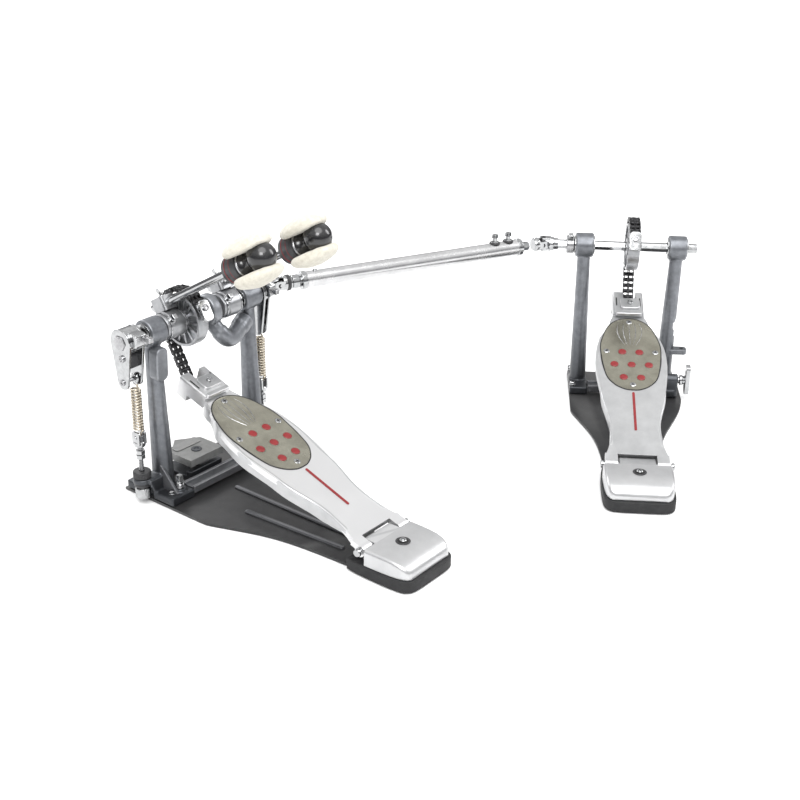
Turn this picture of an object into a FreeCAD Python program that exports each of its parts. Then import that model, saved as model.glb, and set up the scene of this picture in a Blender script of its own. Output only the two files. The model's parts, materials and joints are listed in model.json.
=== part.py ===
"""Double bass drum pedal: a primary pedal with two beaters, a drive shaft and a second pedal.

Frame: millimetres, +Z up. The origin is on the floor under the primary axle, on the centreline of
the primary footboard. +X runs along the axle towards the second pedal, +Y points at the drum and
the heels are at -Y. Each pedal is built in its own frame of this kind, and the second pedal's
pieces are then placed on the floor beside the player's other foot.
"""
import FreeCAD, Part
import math
import os

from FreeCAD import Placement, Rotation, Vector

X_AXIS = Vector(1, 0, 0)
Y_AXIS = Vector(0, 1, 0)
Z_AXIS = Vector(0, 0, 1)

# Driving dimensions, in millimetres and degrees.
DIMENSIONS = {
    # where the second pedal stands
    "second_x": 564.0, "second_y": -257.5, "second_turn": -56.1,
    # axle, cam and chain
    "axle_height": 203.0, "axle_radius": 6.35, "running_gap": 0.05,
    "cam_x": 2.0, "cam_width": 15.6, "chain_radius": 36.0, "cam_rim": 3.0, "cam_web": 6.0,
    "chain_width": 14.3, "chain_thick": 5.2, "chain_pitch": 8.0, "chain_clear": 2.2,
    "pin_radius": 1.6, "pin_along": 300.0, "pin_drop": 12.0,
    "stroke": 55.0, "press": 8.0,
    # bearings and housings
    "bearing_radius": 11.0, "housing_radius": 16.0,
    "left_housing_x": -48.5, "left_housing_length": 23.0,
    "right_housing_x": 101.0, "right_housing_length": 27.0,
    "second_housing_x": 61.0, "second_housing_length": 24.0,
    "centre_disc_x": 38.0, "centre_disc_width": 10.0, "centre_disc_radius": 19.0,
    # posts and feet
    "post_top_across": 8.5, "post_top_deep": 9.5, "post_foot_across": 11.0, "post_foot_deep": 15.0,
    "post_foot_y": -4.0, "foot_height": 10.0, "foot_back": 36.0, "foot_front": -42.0,
    "bar_height": 9.0, "bar_width": 20.0, "bar_y": -32.0,
    # base plate
    "plate_thick": 4.0, "plate_back": 40.0, "plate_half_back": 81.0, "plate_right_back": 132.0,
    "plate_half_waist": 46.0, "plate_half_heel": 34.0, "plate_heel": -306.0,
    # footboard
    "hinge_setback": 292.0, "hinge_height": 27.0, "board_tilt": 20.0, "board_top": 6.0,
    "board_thick": 7.0, "board_half_heel": 38.0, "board_half_waist": 30.0, "board_half_width": 45.0,
    "board_waist_at": 58.0, "board_wide_at": 172.0, "board_neck_at": 262.0, "board_length": 304.0,
    "board_half_toe": 20.0, "toe_rise": 7.0, "toe_drop": 20.0, "toe_slot_half": 8.2,
    "insert_deep": 1.6, "insert_half": 38.5, "insert_start": 122.0, "insert_end": 257.0,
    "insert_wide_at": 194.0, "insert_gap": 0.3, "dot_radius": 5.5, "dot_across": 21.7,
    "dot_rows": 23.4, "dot_middle": 168.0, "dot_high": 1.0,
    # heel
    "heel_half": 40.0, "heel_length": 54.0, "heel_thick": 19.0, "pad_back": 5.0,
    "hinge_pin_radius": 3.0, "knuckle_radius": 6.5, "knuckle_split": 23.0,
    # springs
    "left_spring_x": -77.0, "right_spring_x": 122.0, "rocker_reach": 47.0, "rocker_thick": 10.0,
    "spring_radius": 6.5, "spring_wire": 1.5, "spring_turns": 14.0, "spring_top": 144.0,
    "spring_bottom": 92.0, "spring_pivot": 82.0, "knob_radius": 10.5, "rod_radius": 3.0,
    "bracket_z": 26.0, "bracket_thick": 6.0, "knob_height": 9.0,
    # beaters
    "beater_lean": 60.0, "beater_offset": 24.0, "beater_reach": 162.5, "beater_rod_radius": 4.75,
    "rod_below": 22.0, "hub_radius": 17.0, "first_hub_x": -22.5,
    "second_hub_x": 65.0, "hub_length": 27.0, "first_beater_x": -15.5, "second_beater_x": 72.0,
    "felt_radius": 28.0, "felt_half": 27.0, "beater_body": 15.0, "body_half": 33.0,
    # drive shaft
    "joint_x": 152.0, "second_joint_x": -116.0, "tube_radius": 10.5, "shaft_rod_radius": 6.0,
    "tube_start": 36.0, "tube_end": 342.0, "bore_start": 60.0, "rod_end": 200.0,
    "yoke_reach": 14.0, "yoke_radius": 9.0, "yoke_base": 4.0, "cross_radius": 4.2,
    # hoop clamp
    "clamp_half": 26.0, "clamp_floor": 6.0, "clamp_gap": 13.0, "clamp_jaw": 9.0,
    "clamp_x": 12.0, "clamp_y": 12.0, "clamp_travel": 6.0,
    "spur_radius": 3.5, "wing_radius": 4.5, "wing_x": 75.2, "wing_y": -32.0, "wing_z": 27.0,
}

DOC = FreeCAD.newDocument("bass_drum_pedal")
SHEET = DOC.addObject("Spreadsheet::Sheet", "sizes")
for row, (alias, value) in enumerate(DIMENSIONS.items(), start=1):
    SHEET.set("A%d" % row, alias)
    SHEET.set("B%d" % row, str(value))
    SHEET.setAlias("B%d" % row, alias)
DOC.recompute()

SUBPARTS = []


def size(alias):
    """The sheet's number under that alias."""
    return float(getattr(SHEET, alias))


def bind(item, **expressions):
    """Bind an object's properties to expressions, whose words are the sheet's aliases."""
    for prop, text in expressions.items():
        words = text.replace("(", " ( ").replace(")", " ) ").split()
        item.setExpression(prop, " ".join("sizes." + w if w in DIMENSIONS else w for w in words))
    return item


def turn_to(axis):
    """The rotation that takes +Z to a direction."""
    return Rotation(Z_AXIS, Vector(axis))


def cylinder(radius, height, start, axis=Z_AXIS):
    """A cylinder whose first face is centred on start and which grows along axis."""
    item = DOC.addObject("Part::Cylinder", "cylinder")
    bind(item, Radius=radius, Height=height)
    item.Placement = Placement(Vector(start), turn_to(axis))
    return item


def cone(radius_1, radius_2, height, start, axis=Z_AXIS):
    """A truncated cone from start along axis."""
    item = DOC.addObject("Part::Cone", "cone")
    bind(item, Radius1=radius_1, Radius2=radius_2, Height=height)
    item.Placement = Placement(Vector(start), turn_to(axis))
    return item


def box(length, width, height, centre, rotation=Rotation()):
    """A box with centre in the middle of its underside."""
    item = DOC.addObject("Part::Box", "box")
    bind(item, Length=length, Width=width, Height=height)
    DOC.recompute([item])
    half = Vector(item.Length.Value / 2, item.Width.Value / 2, 0)
    item.Placement = Placement(Vector(centre) - rotation.multVec(half), rotation)
    return item


def ball(radius, centre):
    """A sphere."""
    item = DOC.addObject("Part::Sphere", "ball")
    bind(item, Radius=radius)
    item.Placement = Placement(Vector(centre), Rotation())
    return item


def oval(across, deep, centre):
    """An elliptical wire, longest along Y, for a loft."""
    item = DOC.addObject("Part::Ellipse", "oval")
    bind(item, MajorRadius=deep, MinorRadius=across)
    item.Placement = Placement(Vector(centre), Rotation(Z_AXIS, 90))
    return item


def loft(sections):
    """A solid through elliptical sections."""
    item = DOC.addObject("Part::Loft", "loft")
    item.Sections = sections
    item.Solid = True
    item.Ruled = True
    return item


def fuse(items):
    """The union of several items."""
    item = DOC.addObject("Part::MultiFuse", "union")
    item.Shapes = items
    item.Refine = True
    return item


def cut(base, tool):
    """One item less another."""
    item = DOC.addObject("Part::Cut", "cut")
    item.Base = base
    item.Tool = tool
    item.Refine = True
    return item


def group(items):
    """Separate solids that share one node."""
    item = DOC.addObject("Part::Compound", "set")
    item.Links = items
    return item


def rounded(base, radius, picks):
    """Fillet the edges that picks accepts, a test on each edge's middle point."""
    DOC.recompute()
    item = DOC.addObject("Part::Fillet", "rounded")
    item.Base = base
    chosen = [
        number + 1
        for number, edge in enumerate(base.Shape.Edges)
        if picks(edge.CenterOfMass)
    ]
    item.Edges = [(number, radius, radius) for number in chosen]
    return item


def padded(name, edges, thickness, plane="XY_Plane", reverse=False):
    """A PartDesign body: a closed outline on an origin plane, padded by a bound thickness."""
    body = DOC.addObject("PartDesign::Body", name + "_body")
    sketch = body.newObject("Sketcher::SketchObject", name + "_outline")
    origin = [f for f in body.Origin.OriginFeatures if f.Role == plane][0]
    sketch.AttachmentSupport = [(origin, "")]
    sketch.MapMode = "FlatFace"
    for edge in edges:
        sketch.addGeometry(edge, False)
    pad = body.newObject("PartDesign::Pad", name + "_pad")
    pad.Profile = sketch
    bind(pad, Length=thickness)
    pad.Reversed = reverse
    body.Tip = pad
    return body


def polygon(points):
    """Straight edges round a closed outline of (x, y) points."""
    ends = [Vector(x, y, 0) for x, y in points]
    return [Part.LineSegment(a, b) for a, b in zip(ends, ends[1:] + ends[:1])]


def smooth(points):
    """One smooth edge through (x, y) points."""
    curve = Part.BSplineCurve()
    curve.interpolate([Vector(x, y, 0) for x, y in points])
    return curve


def subpart(name, item, place=Placement()):
    """Name an item as a sub-part and put it where it belongs."""
    item.Label = name
    item.Placement = place.multiply(item.Placement)
    SUBPARTS.append(item)
    return item


def mirrored_outline(half):
    """Two smooth sides and two straight ends from the right half of an outline, heel to toe."""
    left = [(-x, y) for x, y in half]
    return [
        smooth(half),
        Part.LineSegment(Vector(*half[-1], 0), Vector(*left[-1], 0)),
        smooth(left[::-1]),
        Part.LineSegment(Vector(*left[0], 0), Vector(*half[0], 0)),
    ]


def board_frame(pedal):
    """The footboard's frame: origin on the hinge axis, Y along the board, Z out of its top."""
    start = Vector(0, -size("hinge_setback"), size("hinge_height"))
    return pedal.multiply(Placement(start, Rotation(X_AXIS, size("board_tilt"))))


def on_cam(angle, radius, x=0.0):
    """A point at an angle round the axle, counted from +Y up towards +Z."""
    a = math.radians(angle)
    return Vector(x, radius * math.cos(a), size("axle_height") + radius * math.sin(a))


def chain_pin():
    """Where the chain is pinned in the footboard's toe, in the pedal's frame."""
    at = Vector(size("cam_x"), size("pin_along"), -size("pin_drop"))
    return board_frame(Placement()).multVec(at)


def tangent_angle(pin):
    """The angle round the axle at which the straight chain from pin leaves the cam."""
    down = math.atan2(pin.z - size("axle_height"), pin.y)
    reach = math.hypot(pin.y, pin.z - size("axle_height"))
    return math.degrees(down + math.acos(size("chain_radius") / reach))


def pressed(pin):
    """The pin when the footboard is down."""
    hinge = Vector(0, -size("hinge_setback"), size("hinge_height"))
    return Rotation(X_AXIS, -size("press")).multVec(pin - hinge) + hinge


# ---------------------------------------------------------------- frame pieces of either pedal


def base_plate(prefix, pedal, right_back):
    """Steel floor plate that narrows towards the heel, with two pressed ribs."""
    back = size("plate_back")
    right = plate_side(right_back)
    left = [(-x, y) for x, y in plate_side("plate_half_back")]
    corner = Vector(size(right_back), back, 0)
    tail = Vector(-size("plate_half_back"), back, 0)
    edges = [
        smooth(right),
        Part.LineSegment(Vector(*right[-1], 0), corner),
        Part.LineSegment(corner, tail),
        Part.LineSegment(tail, Vector(*left[-1], 0)),
        smooth(left[::-1]),
        Part.LineSegment(Vector(*left[0], 0), Vector(*right[0], 0)),
    ]
    plate = padded(prefix + "_plate", edges, "plate_thick")
    ribs = []
    for side in (-1, 1):
        rib = box("6", "130", "plate_thick", (0, 0, 0))
        rib.Placement = Placement(
            Vector(side * 24 - 3, -202, 1.5), Rotation(Z_AXIS, -side * 4)
        )
        ribs.append(rib)
    subpart(prefix + "_base_plate", fuse([plate] + ribs), pedal)


def plate_side(back_width):
    """One side of the floor plate, heel to drum, as the right-hand side."""
    wide, heel_end = size(back_width), size("plate_heel")
    waist, narrow = size("plate_half_waist"), size("plate_half_heel")
    spread = (wide - waist) * 0.7
    shoulder = size("foot_front")
    return [
        (narrow, heel_end),
        (narrow + 2, heel_end + 60),
        (waist, shoulder - 122),
        (waist + spread, shoulder - 50),
        (wide, shoulder - 2),
    ]


def heel(prefix, pedal):
    """Cast heel plate on a rubber pad, with the hinge pin's outer knuckles."""
    y, z = -size("hinge_setback"), size("hinge_height")
    split, half = size("knuckle_split"), size("heel_half")
    back_y = y - 8 - size("heel_length")
    under = z + size("board_top") - size("heel_thick")
    plate = box("heel_half * 2", "heel_length", "heel_thick", (0, back_y + size("heel_length") / 2, under))
    plate = rounded(plate, 12, lambda c: abs(abs(c.x) - half) < 0.1 and c.y < back_y + 0.1)
    tongue = box("knuckle_split * 2 - 1", "10", "board_thick", (0, y - 4.5, z - 1))
    barrel = cylinder("knuckle_radius", "knuckle_split * 2 - 1", (-split + 0.5, y, z), X_AXIS)
    bore = cylinder("hinge_pin_radius + running_gap", "heel_half * 4", (-2 * half, y, z), X_AXIS)
    body = cut(fuse([plate, tongue, barrel]), bore)
    subpart(prefix + "_heel_plate", body, pedal)

    front_y, end_y = y - 12, back_y - size("pad_back")
    high = under - 0.1
    floor = size("plate_thick") + 0.1
    pad = box("heel_half * 2 + 2", "%.3f" % (front_y - end_y), "%.3f" % (high - floor),
              (0, (front_y + end_y) / 2, floor))
    foot = box("heel_half * 2 + 2", "%.3f" % (size("plate_heel") - 0.3 - end_y), "plate_thick + 1",
               (0, (size("plate_heel") - 0.3 + end_y) / 2, 0))
    joined = rounded(fuse([pad, foot]), 14, lambda c: abs(abs(c.x) - half - 1) < 0.1 and c.y < end_y + 0.1)
    subpart(prefix + "_heel_pad", joined, pedal)

    pin = cylinder("hinge_pin_radius", "heel_half * 2 + 4", (-half - 2, y, z), X_AXIS)
    heads = [
        cylinder("hinge_pin_radius + 2", "2.5", (side * (half + 2) - 1.25, y, z), X_AXIS)
        for side in (-1, 1)
    ]
    subpart(prefix + "_hinge_pin", fuse([pin] + heads), pedal)


def bearings(name, places, pedal):
    """Ball bearings, drawn as plain rings, one in each housing."""
    rings = []
    for x, length in places:
        outer = cylinder("bearing_radius", "%s " % length, (x - length / 2, 0, size("axle_height")), X_AXIS)
        inner = cylinder("axle_radius + running_gap", "60", (x - 30, 0, size("axle_height")), X_AXIS)
        rings.append(cut(outer, inner))
    subpart(name, group(rings), pedal)


def housing(x, length, radius="housing_radius"):
    """A bearing housing's outer barrel and the bore to take out of it."""
    start = (x - size(length) / 2, 0, size("axle_height"))
    barrel = cylinder(radius, length, start, X_AXIS)
    barrel = rounded(barrel, 1.5, lambda c: abs(c.x - x) > size(length) / 2 - 0.1)
    through = cylinder("bearing_radius", "80", (x - 40, 0, size("axle_height")), X_AXIS)
    return barrel, through


def column(x, foot_x):
    """A tapered oval post from the foot up into its housing, leaning towards the player."""
    high = size("axle_height") - size("housing_radius") + 5
    low = size("plate_thick") + size("foot_height") - 3
    return loft([
        oval("post_foot_across", "post_foot_deep", (foot_x, size("post_foot_y"), low)),
        oval("post_top_across", "post_top_deep", (x, 0, high)),
    ])


def foot(inner, outer):
    """A post's foot: a low block on the plate from its inner edge to its outer edge."""
    wide = abs(outer - inner)
    back, front = size("foot_back"), size("foot_front")
    block = box("%.3f" % wide, "foot_back - foot_front", "foot_height",
                ((inner + outer) / 2, (back + front) / 2, size("plate_thick")))
    return rounded(block, 5, lambda c: abs(c.x - outer) < 0.1 and abs(c.y - (back + front) / 2) > 20)


def spring_bracket(x, post_x):
    """The ring and web that hold a spring's adjuster beside its post."""
    low = size("bracket_z")
    ring = cylinder("knob_radius + 0.5", "bracket_thick", (x, 0, low))
    web = box("%.3f" % abs(post_x - x), "7", "%.3f" % (low + 4 - size("plate_thick") - 4),
              ((x + post_x) / 2, -10, size("plate_thick") + 4))
    arm = box("%.3f" % abs(post_x - x), "14", "bracket_thick", ((x + post_x) / 2, -4, low))
    return fuse([ring, arm, web])


def post(name, x, length, foot_x, outer, inner, spring_x, pedal, extra=()):
    """A cast post: housing, column, foot and, where a spring is, its bracket and a spur hole."""
    barrel, through = housing(x, length)
    solids = [barrel, column(x, foot_x), foot(inner, outer)] + list(extra)
    tools = [through]
    if spring_x is not None:
        solids.append(spring_bracket(spring_x, foot_x))
        tools.append(cylinder("rod_radius + running_gap", "60", (spring_x, 0, size("bracket_z") - 20)))
        tools.append(cylinder("knob_radius + 1", "bracket_z - plate_thick",
                              (spring_x, 0, size("plate_thick"))))
        spur = spur_place(foot_x)
        solids.append(cylinder("spur_radius + 4", "14", (spur[0], spur[1], size("plate_thick"))))
        tools.append(cylinder("spur_radius + running_gap", "60",
                              (spur[0], spur[1], size("plate_thick") + 1)))
    solid = fuse(solids)
    for tool in tools:
        solid = cut(solid, tool)
    subpart(name, solid, pedal)


def spur_place(foot_x):
    """Where a foot's spur screw stands."""
    return foot_x, size("foot_front") + 11.0


def crossbar(prefix, left, right, pedal):
    """Channel bar that ties the two feet together in front of the posts."""
    middle = (left + right) / 2
    high = size("plate_thick") + 4
    bar = box("%.3f" % (right - left - 0.2), "bar_width", "bar_height", (middle, size("bar_y"), high))
    groove = box("%.3f" % (right - left), "bar_width - 8", "3",
                 (middle, size("bar_y"), high + size("bar_height") - 2))
    subpart(prefix + "_crossbar", cut(bar, groove), pedal)


def centre_arm(pedal):
    """Disc that carries the primary axle's inner end, on a curved arm from the right post."""
    x, wide = size("centre_disc_x"), size("centre_disc_width")
    high = size("axle_height")
    disc = cylinder("centre_disc_radius", "centre_disc_width", (x - wide / 2, 0, high), X_AXIS)
    bore = cylinder("bearing_radius", "40", (x - 20, 0, high), X_AXIS)
    bends = [Vector(x, -15, high - 8), Vector(x + 6, -25, high - 28), Vector(x + 26, -27, high - 38),
             Vector(size("right_housing_x") - 15, -10, high - 36)]
    solids = [disc]
    for start, end in zip(bends, bends[1:]):
        run = end - start
        solids.append(cylinder("7.5 - 0.5", "%.3f" % run.Length, start, run))
        solids.append(ball("7.5 - 0.5", end))
    arm = fuse(solids)
    keep = box("%.3f" % (size("right_housing_x") - 9.2 - x + 20), "120", "120",
               (x - 20 + (size("right_housing_x") - 9.2 - x + 20) / 2, 0, high - 60))
    both = DOC.addObject("Part::MultiCommon", "common")
    both.Shapes = [arm, keep]
    subpart("centre_bearing_arm", cut(both, bore), pedal)


def hoop_clamp(pedal):
    """Clamp for the drum's hoop: a fixed lower jaw, a hinged upper jaw and its screw."""
    half, x, y = size("clamp_half"), size("clamp_x"), size("clamp_y")
    floor = size("plate_thick")
    lower = box("clamp_half * 2", "40", "clamp_floor", (x, y + 4, floor))
    back = box("clamp_half * 2", "8", "clamp_floor + clamp_gap - clamp_travel - 1", (x, y - 20, floor))
    hole = box("6.8", "11.4", "60", (x, y - 10.3, floor - 10))
    subpart("hoop_clamp_base", cut(fuse([lower, back]), hole), pedal)
    under = floor + size("clamp_floor") + size("clamp_gap")
    outline = polygon([(-half, -26), (half, -26), (half, 12), (0, 30), (-half, 8)])
    jaw = padded("clamp_jaw", outline, "clamp_jaw")
    jaw.Placement = Placement(Vector(x, y, under + 0.3), Rotation())
    lip = box("clamp_half * 2 - 10", "6", "4", (x, y + 12, under - 2.5))
    jaw_hole = cylinder("3.6", "60", (x, y - 8, under - 10))
    subpart("hoop_clamp_jaw", cut(fuse([jaw, lip]), jaw_hole), pedal)
    top = under + 0.3 + size("clamp_jaw")
    start = floor + size("clamp_travel") + 0.3
    screw = cylinder("3.1", "%.3f" % (top - start + 1), (x, y - 8, start))
    head = cylinder("7", "5", (x, y - 8, top + 0.05))
    key = box("5.5", "5.5", "7", (x, y - 8, top + 4))
    subpart("hoop_clamp_screw", fuse([screw, head, key]), pedal)


# ---------------------------------------------------------------- footboard and chain


def footboard(prefix, pedal):
    """Cast footboard with its inset plate, grips, side knuckles and slotted toe block."""
    frame = board_frame(pedal)
    top, thick = size("board_top"), size("board_thick")
    half = [
        (size("board_half_heel"), 9.0),
        (size("board_half_waist") + 1.5, 32.0),
        (size("board_half_waist"), size("board_waist_at")),
        (size("board_half_width") - 5, 120.0),
        (size("board_half_width"), size("board_wide_at")),
        (size("board_half_width") - 5, 212.0),
        (size("board_half_toe") + 5, 246.0),
        (size("board_half_toe"), size("board_neck_at") + 4),
    ]
    plate = padded(prefix + "_board", mirrored_outline(half), "board_thick")
    plate.Placement = Placement(Vector(0, 0, top - thick), Rotation())
    neck = size("board_neck_at")
    toe = box("board_half_toe * 2", "board_length - board_neck_at", "toe_rise + toe_drop + 5",
              (0, (neck + size("board_length")) / 2, -size("toe_drop")))
    toe = rounded(toe, 3, lambda c: abs(c.x) > 15 and c.z > top + 3)
    slot = box("toe_slot_half * 2", "16", "60",
               (size("cam_x"), size("board_length") - 4, -size("toe_drop") - 10))
    under = box("board_half_toe * 2 + 2", "26", "20", (0, neck + 12.5, -size("toe_drop") - 4.5))
    knuckles = []
    split, side = size("knuckle_split"), size("board_half_heel")
    for sign in (-1, 1):
        start = split + 0.3 if sign > 0 else -side
        knuckles.append(cylinder("knuckle_radius", "board_half_heel - knuckle_split - 0.3",
                                 (start, 0, 0), X_AXIS))
        knuckles.append(box("board_half_heel - knuckle_split - 0.3", "13", "board_thick",
                            (sign * (side + split + 0.3) / 2, 6.5, top - thick)))
    bore = cylinder("hinge_pin_radius + running_gap", "200", (-100, 0, 0), X_AXIS)
    pocket = padded(prefix + "_pocket", insert_outline(0.0), "20")
    pocket.Placement = Placement(Vector(0, 0, top - size("insert_deep")), Rotation())
    tongue = box("knuckle_split * 2 + 0.6", "20", "30", (0, 2, -15))
    solid = fuse([plate, toe] + knuckles)
    for tool in (slot, under, bore, pocket, tongue):
        solid = cut(solid, tool)
    pin = cylinder("pin_radius", "board_half_toe * 2 - 8",
                   (-size("board_half_toe") + 4, size("pin_along"), -size("pin_drop")), X_AXIS)
    subpart(prefix + "_footboard", fuse([solid, pin]), frame)

    insert = padded(prefix + "_inset", insert_outline(size("insert_gap")), "insert_deep")
    insert.Placement = Placement(Vector(0, 0, top - size("insert_deep") + 0.0), Rotation())
    subpart(prefix + "_insert_plate", insert, frame)

    dots = []
    for row_at, count in ((-1, 2), (0, 3), (1, 2)):
        for place in range(count):
            x = (place - (count - 1) / 2) * size("dot_across")
            y = size("dot_middle") + row_at * size("dot_rows")
            dots.append(cylinder("dot_radius", "dot_high", (x, y, top)))
    subpart(prefix + "_grip_dots", group(dots), frame)


def insert_outline(gap):
    """The egg-shaped outline of the inset plate, smaller by a gap."""
    start, end = size("insert_start") + gap, size("insert_end") - gap
    wide_at, half = size("insert_wide_at"), size("insert_half") - gap
    right = [
        (0.0, start),
        (10.0, start + 1.4),
        (half * 0.60, start + 10),
        (half * 0.86, (start + wide_at) / 2 - 8),
        (half, wide_at),
        (half * 0.92, wide_at + 24),
        (half * 0.68, end - 15),
        (half * 0.34, end - 3.0),
        (0.0, end),
    ]
    left = [(-x, y) for x, y in right]
    return [smooth(right), smooth(left[::-1])]


def cam(prefix, pedal):
    """The chain cam: a web on the axle carrying a broad rim that the chain lies on."""
    x, width = size("cam_x"), size("cam_width")
    start = (x - width / 2, 0, size("axle_height"))
    outer = cylinder("chain_radius - chain_thick / 2 - chain_clear", "cam_width", start, X_AXIS)
    inner = cylinder("chain_radius - chain_thick / 2 - cam_rim", "cam_width", start, X_AXIS)
    web = cylinder("chain_radius - chain_thick", "cam_web",
                   (x - size("cam_web") / 2, 0, size("axle_height")), X_AXIS)
    nave = cylinder("axle_radius + 4", "cam_width", start, X_AXIS)
    bore = cylinder("axle_radius", "cam_width * 2", (x - width, 0, size("axle_height")), X_AXIS)
    solid = cut(fuse([cut(outer, inner), web, nave]), bore)
    subpart(prefix + "_cam", solid, pedal)


def link_block(start, end):
    """A run of double chain between two pivots: three rows of side plates joined by rollers."""
    run = end - start
    count = max(1, round(run.Length / size("chain_pitch")))
    turn = Rotation(Y_AXIS, run)
    rows = []
    half = size("chain_width") / 2
    gap = 1.0
    for x in (-half + 0.8, 0.0, half - 0.8):
        plate = box("1.6", "%.3f" % (run.Length - 2 * gap), "chain_thick * 0.75", (0, 0, 0))
        offset = Vector(x - 0.8, gap, -size("chain_thick") * 0.375)
        plate.Placement = Placement(start + turn.multVec(offset), turn)
        rows.append(plate)
    step = run.Length / count
    for number in range(count):
        at = start + turn.multVec(Vector(-half + 0.4, (number + 0.5) * step, 0))
        rows.append(cylinder("chain_thick / 2", "chain_width - 0.8", at, X_AXIS))
    return fuse(rows)


def chain(prefix, pedal):
    """Double roller chain: wrapped on the cam, through two folding runs, then straight to the toe."""
    x, radius = size("cam_x"), size("chain_radius")
    pin = chain_pin()
    leave = tangent_angle(pin)
    wrap = leave - tangent_angle(pressed(pin)) - size("stroke")
    folds = [on_cam(leave - wrap * share, radius, x) for share in (1.0, 0.5, 0.0)]
    top = leave - wrap
    clamp_at = 158.0
    half = size("chain_width") / 2
    centre = (x - half, 0, size("axle_height"))
    outer = cylinder("chain_radius + chain_thick / 2", "chain_width", centre, X_AXIS)
    inner = cylinder("chain_radius - chain_thick / 2", "chain_width", centre, X_AXIS)
    for drum in (outer, inner):
        bind(drum, Angle="%.4f " % (clamp_at - top - 1.5))
        drum.Placement = Placement(
            Vector(x - half, 0, size("axle_height")),
            Rotation(X_AXIS, top + 0.75).multiply(
                Rotation(Vector(0, 1, 0), Vector(0, 0, 1), X_AXIS, "ZXY")
            ),
        )
    block = box("chain_width + 1", "24", "11", (0, 0, 0))
    block.Placement = Placement(
        on_cam(clamp_at + 20, radius - 4.5, x) + Vector(-half - 0.5, 0, 0),
        Rotation(X_AXIS, clamp_at + 20 - 90).multiply(Rotation()),
    ).multiply(Placement(Vector(0, -12, 0), Rotation()))
    wrapped = cut(outer, inner)
    subpart(prefix + "_chain_wrap", group([wrapped, block]), pedal)
    subpart(prefix + "_chain_link_1", link_block(folds[0], folds[1]), pedal)
    subpart(prefix + "_chain_link_2", link_block(folds[1], folds[2]), pedal)
    end = pin + (folds[2] - pin).normalize() * 3.2
    subpart(prefix + "_chain_strand", link_block(folds[2], end), pedal)


# ---------------------------------------------------------------- beaters, rockers and springs


def beater_direction():
    """The beater rod's direction at rest: leaning back from the vertical towards the player."""
    lean = math.radians(size("beater_lean"))
    return Vector(0, -math.sin(lean), math.cos(lean))


def beater_foot(x):
    """The point of a beater rod's axis nearest the axle."""
    lean = math.radians(size("beater_lean"))
    across = Vector(0, math.cos(lean), math.sin(lean)) * size("beater_offset")
    return Vector(x, 0, size("axle_height")) + across


def hub(name, x, rod_x, pedal):
    """Cast hub clamped on the axle, with a boss that the beater rod slides through."""
    start = (x - size("hub_length") / 2, 0, size("axle_height"))
    barrel = cylinder("hub_radius", "hub_length", start, X_AXIS)
    barrel = rounded(barrel, 2, lambda c: abs(c.x - x) > size("hub_length") / 2 - 0.1)
    along = beater_direction()
    boss = cylinder("beater_rod_radius + 5", "26", beater_foot(rod_x) - along * 12, along)
    clamp = box("12", "12", "9", (0, 0, 0))
    up = Vector(0, along.z, -along.y)
    clamp.Placement = Placement(
        beater_foot(rod_x - 14) - up * 8 - along * 2, turn_to(up)
    ).multiply(Placement(Vector(-6, -6, 0), Rotation()))
    solid = fuse([barrel, boss, clamp])
    for tool in (
        cylinder("axle_radius", "hub_length * 2", (x - size("hub_length"), 0, size("axle_height")), X_AXIS),
        cylinder("beater_rod_radius + running_gap", "120", beater_foot(rod_x) - along * 60, along),
    ):
        solid = cut(solid, tool)
    subpart(name, solid, pedal)


def beater(name, x, pedal):
    """Beater: steel rod, turned body across its end and a felt head for the drum."""
    along, foot = beater_direction(), beater_foot(x)
    centre = foot + along * size("beater_reach")
    strike = Vector(0, along.z, -along.y)
    length = "beater_reach - body_half + rod_below"
    rod = cylinder("beater_rod_radius", length, foot - along * size("rod_below"), along)
    subpart(name + "_rod", rod, pedal)
    body = cylinder("beater_body", "body_half * 2", centre - along * size("body_half"), along)
    subpart(name + "_body", body, pedal)
    felt = cylinder("felt_radius", "felt_half * 2", centre - strike * size("felt_half"), strike)
    room = cylinder("beater_body", "body_half * 4", centre - along * size("body_half") * 2, along)
    subpart(name + "_felt", cut(felt, room), pedal)


def rocker(name, x, pedal):
    """Spring rocker: a split casting clamped on the axle, with an arm down to the spring's hook."""
    thick, reach = size("rocker_thick"), size("rocker_reach")
    high = size("axle_height")
    ring = cylinder("housing_radius", "rocker_thick", (x - thick / 2, 0, high), X_AXIS)
    arm = box("rocker_thick", "18", "rocker_reach", (x, 0, high - reach))
    tip = cylinder("9", "rocker_thick", (x - thick / 2, 0, high - reach), X_AXIS)
    lug = box("rocker_thick", "14", "16", (x, -12, high - 2))
    bore = cylinder("axle_radius", "60", (x - 30, 0, high), X_AXIS)
    mouth = box("5", "40", "31", (x, 0, high - reach - 10))
    subpart(name, cut(cut(fuse([ring, arm, tip, lug]), bore), mouth), pedal)


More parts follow.
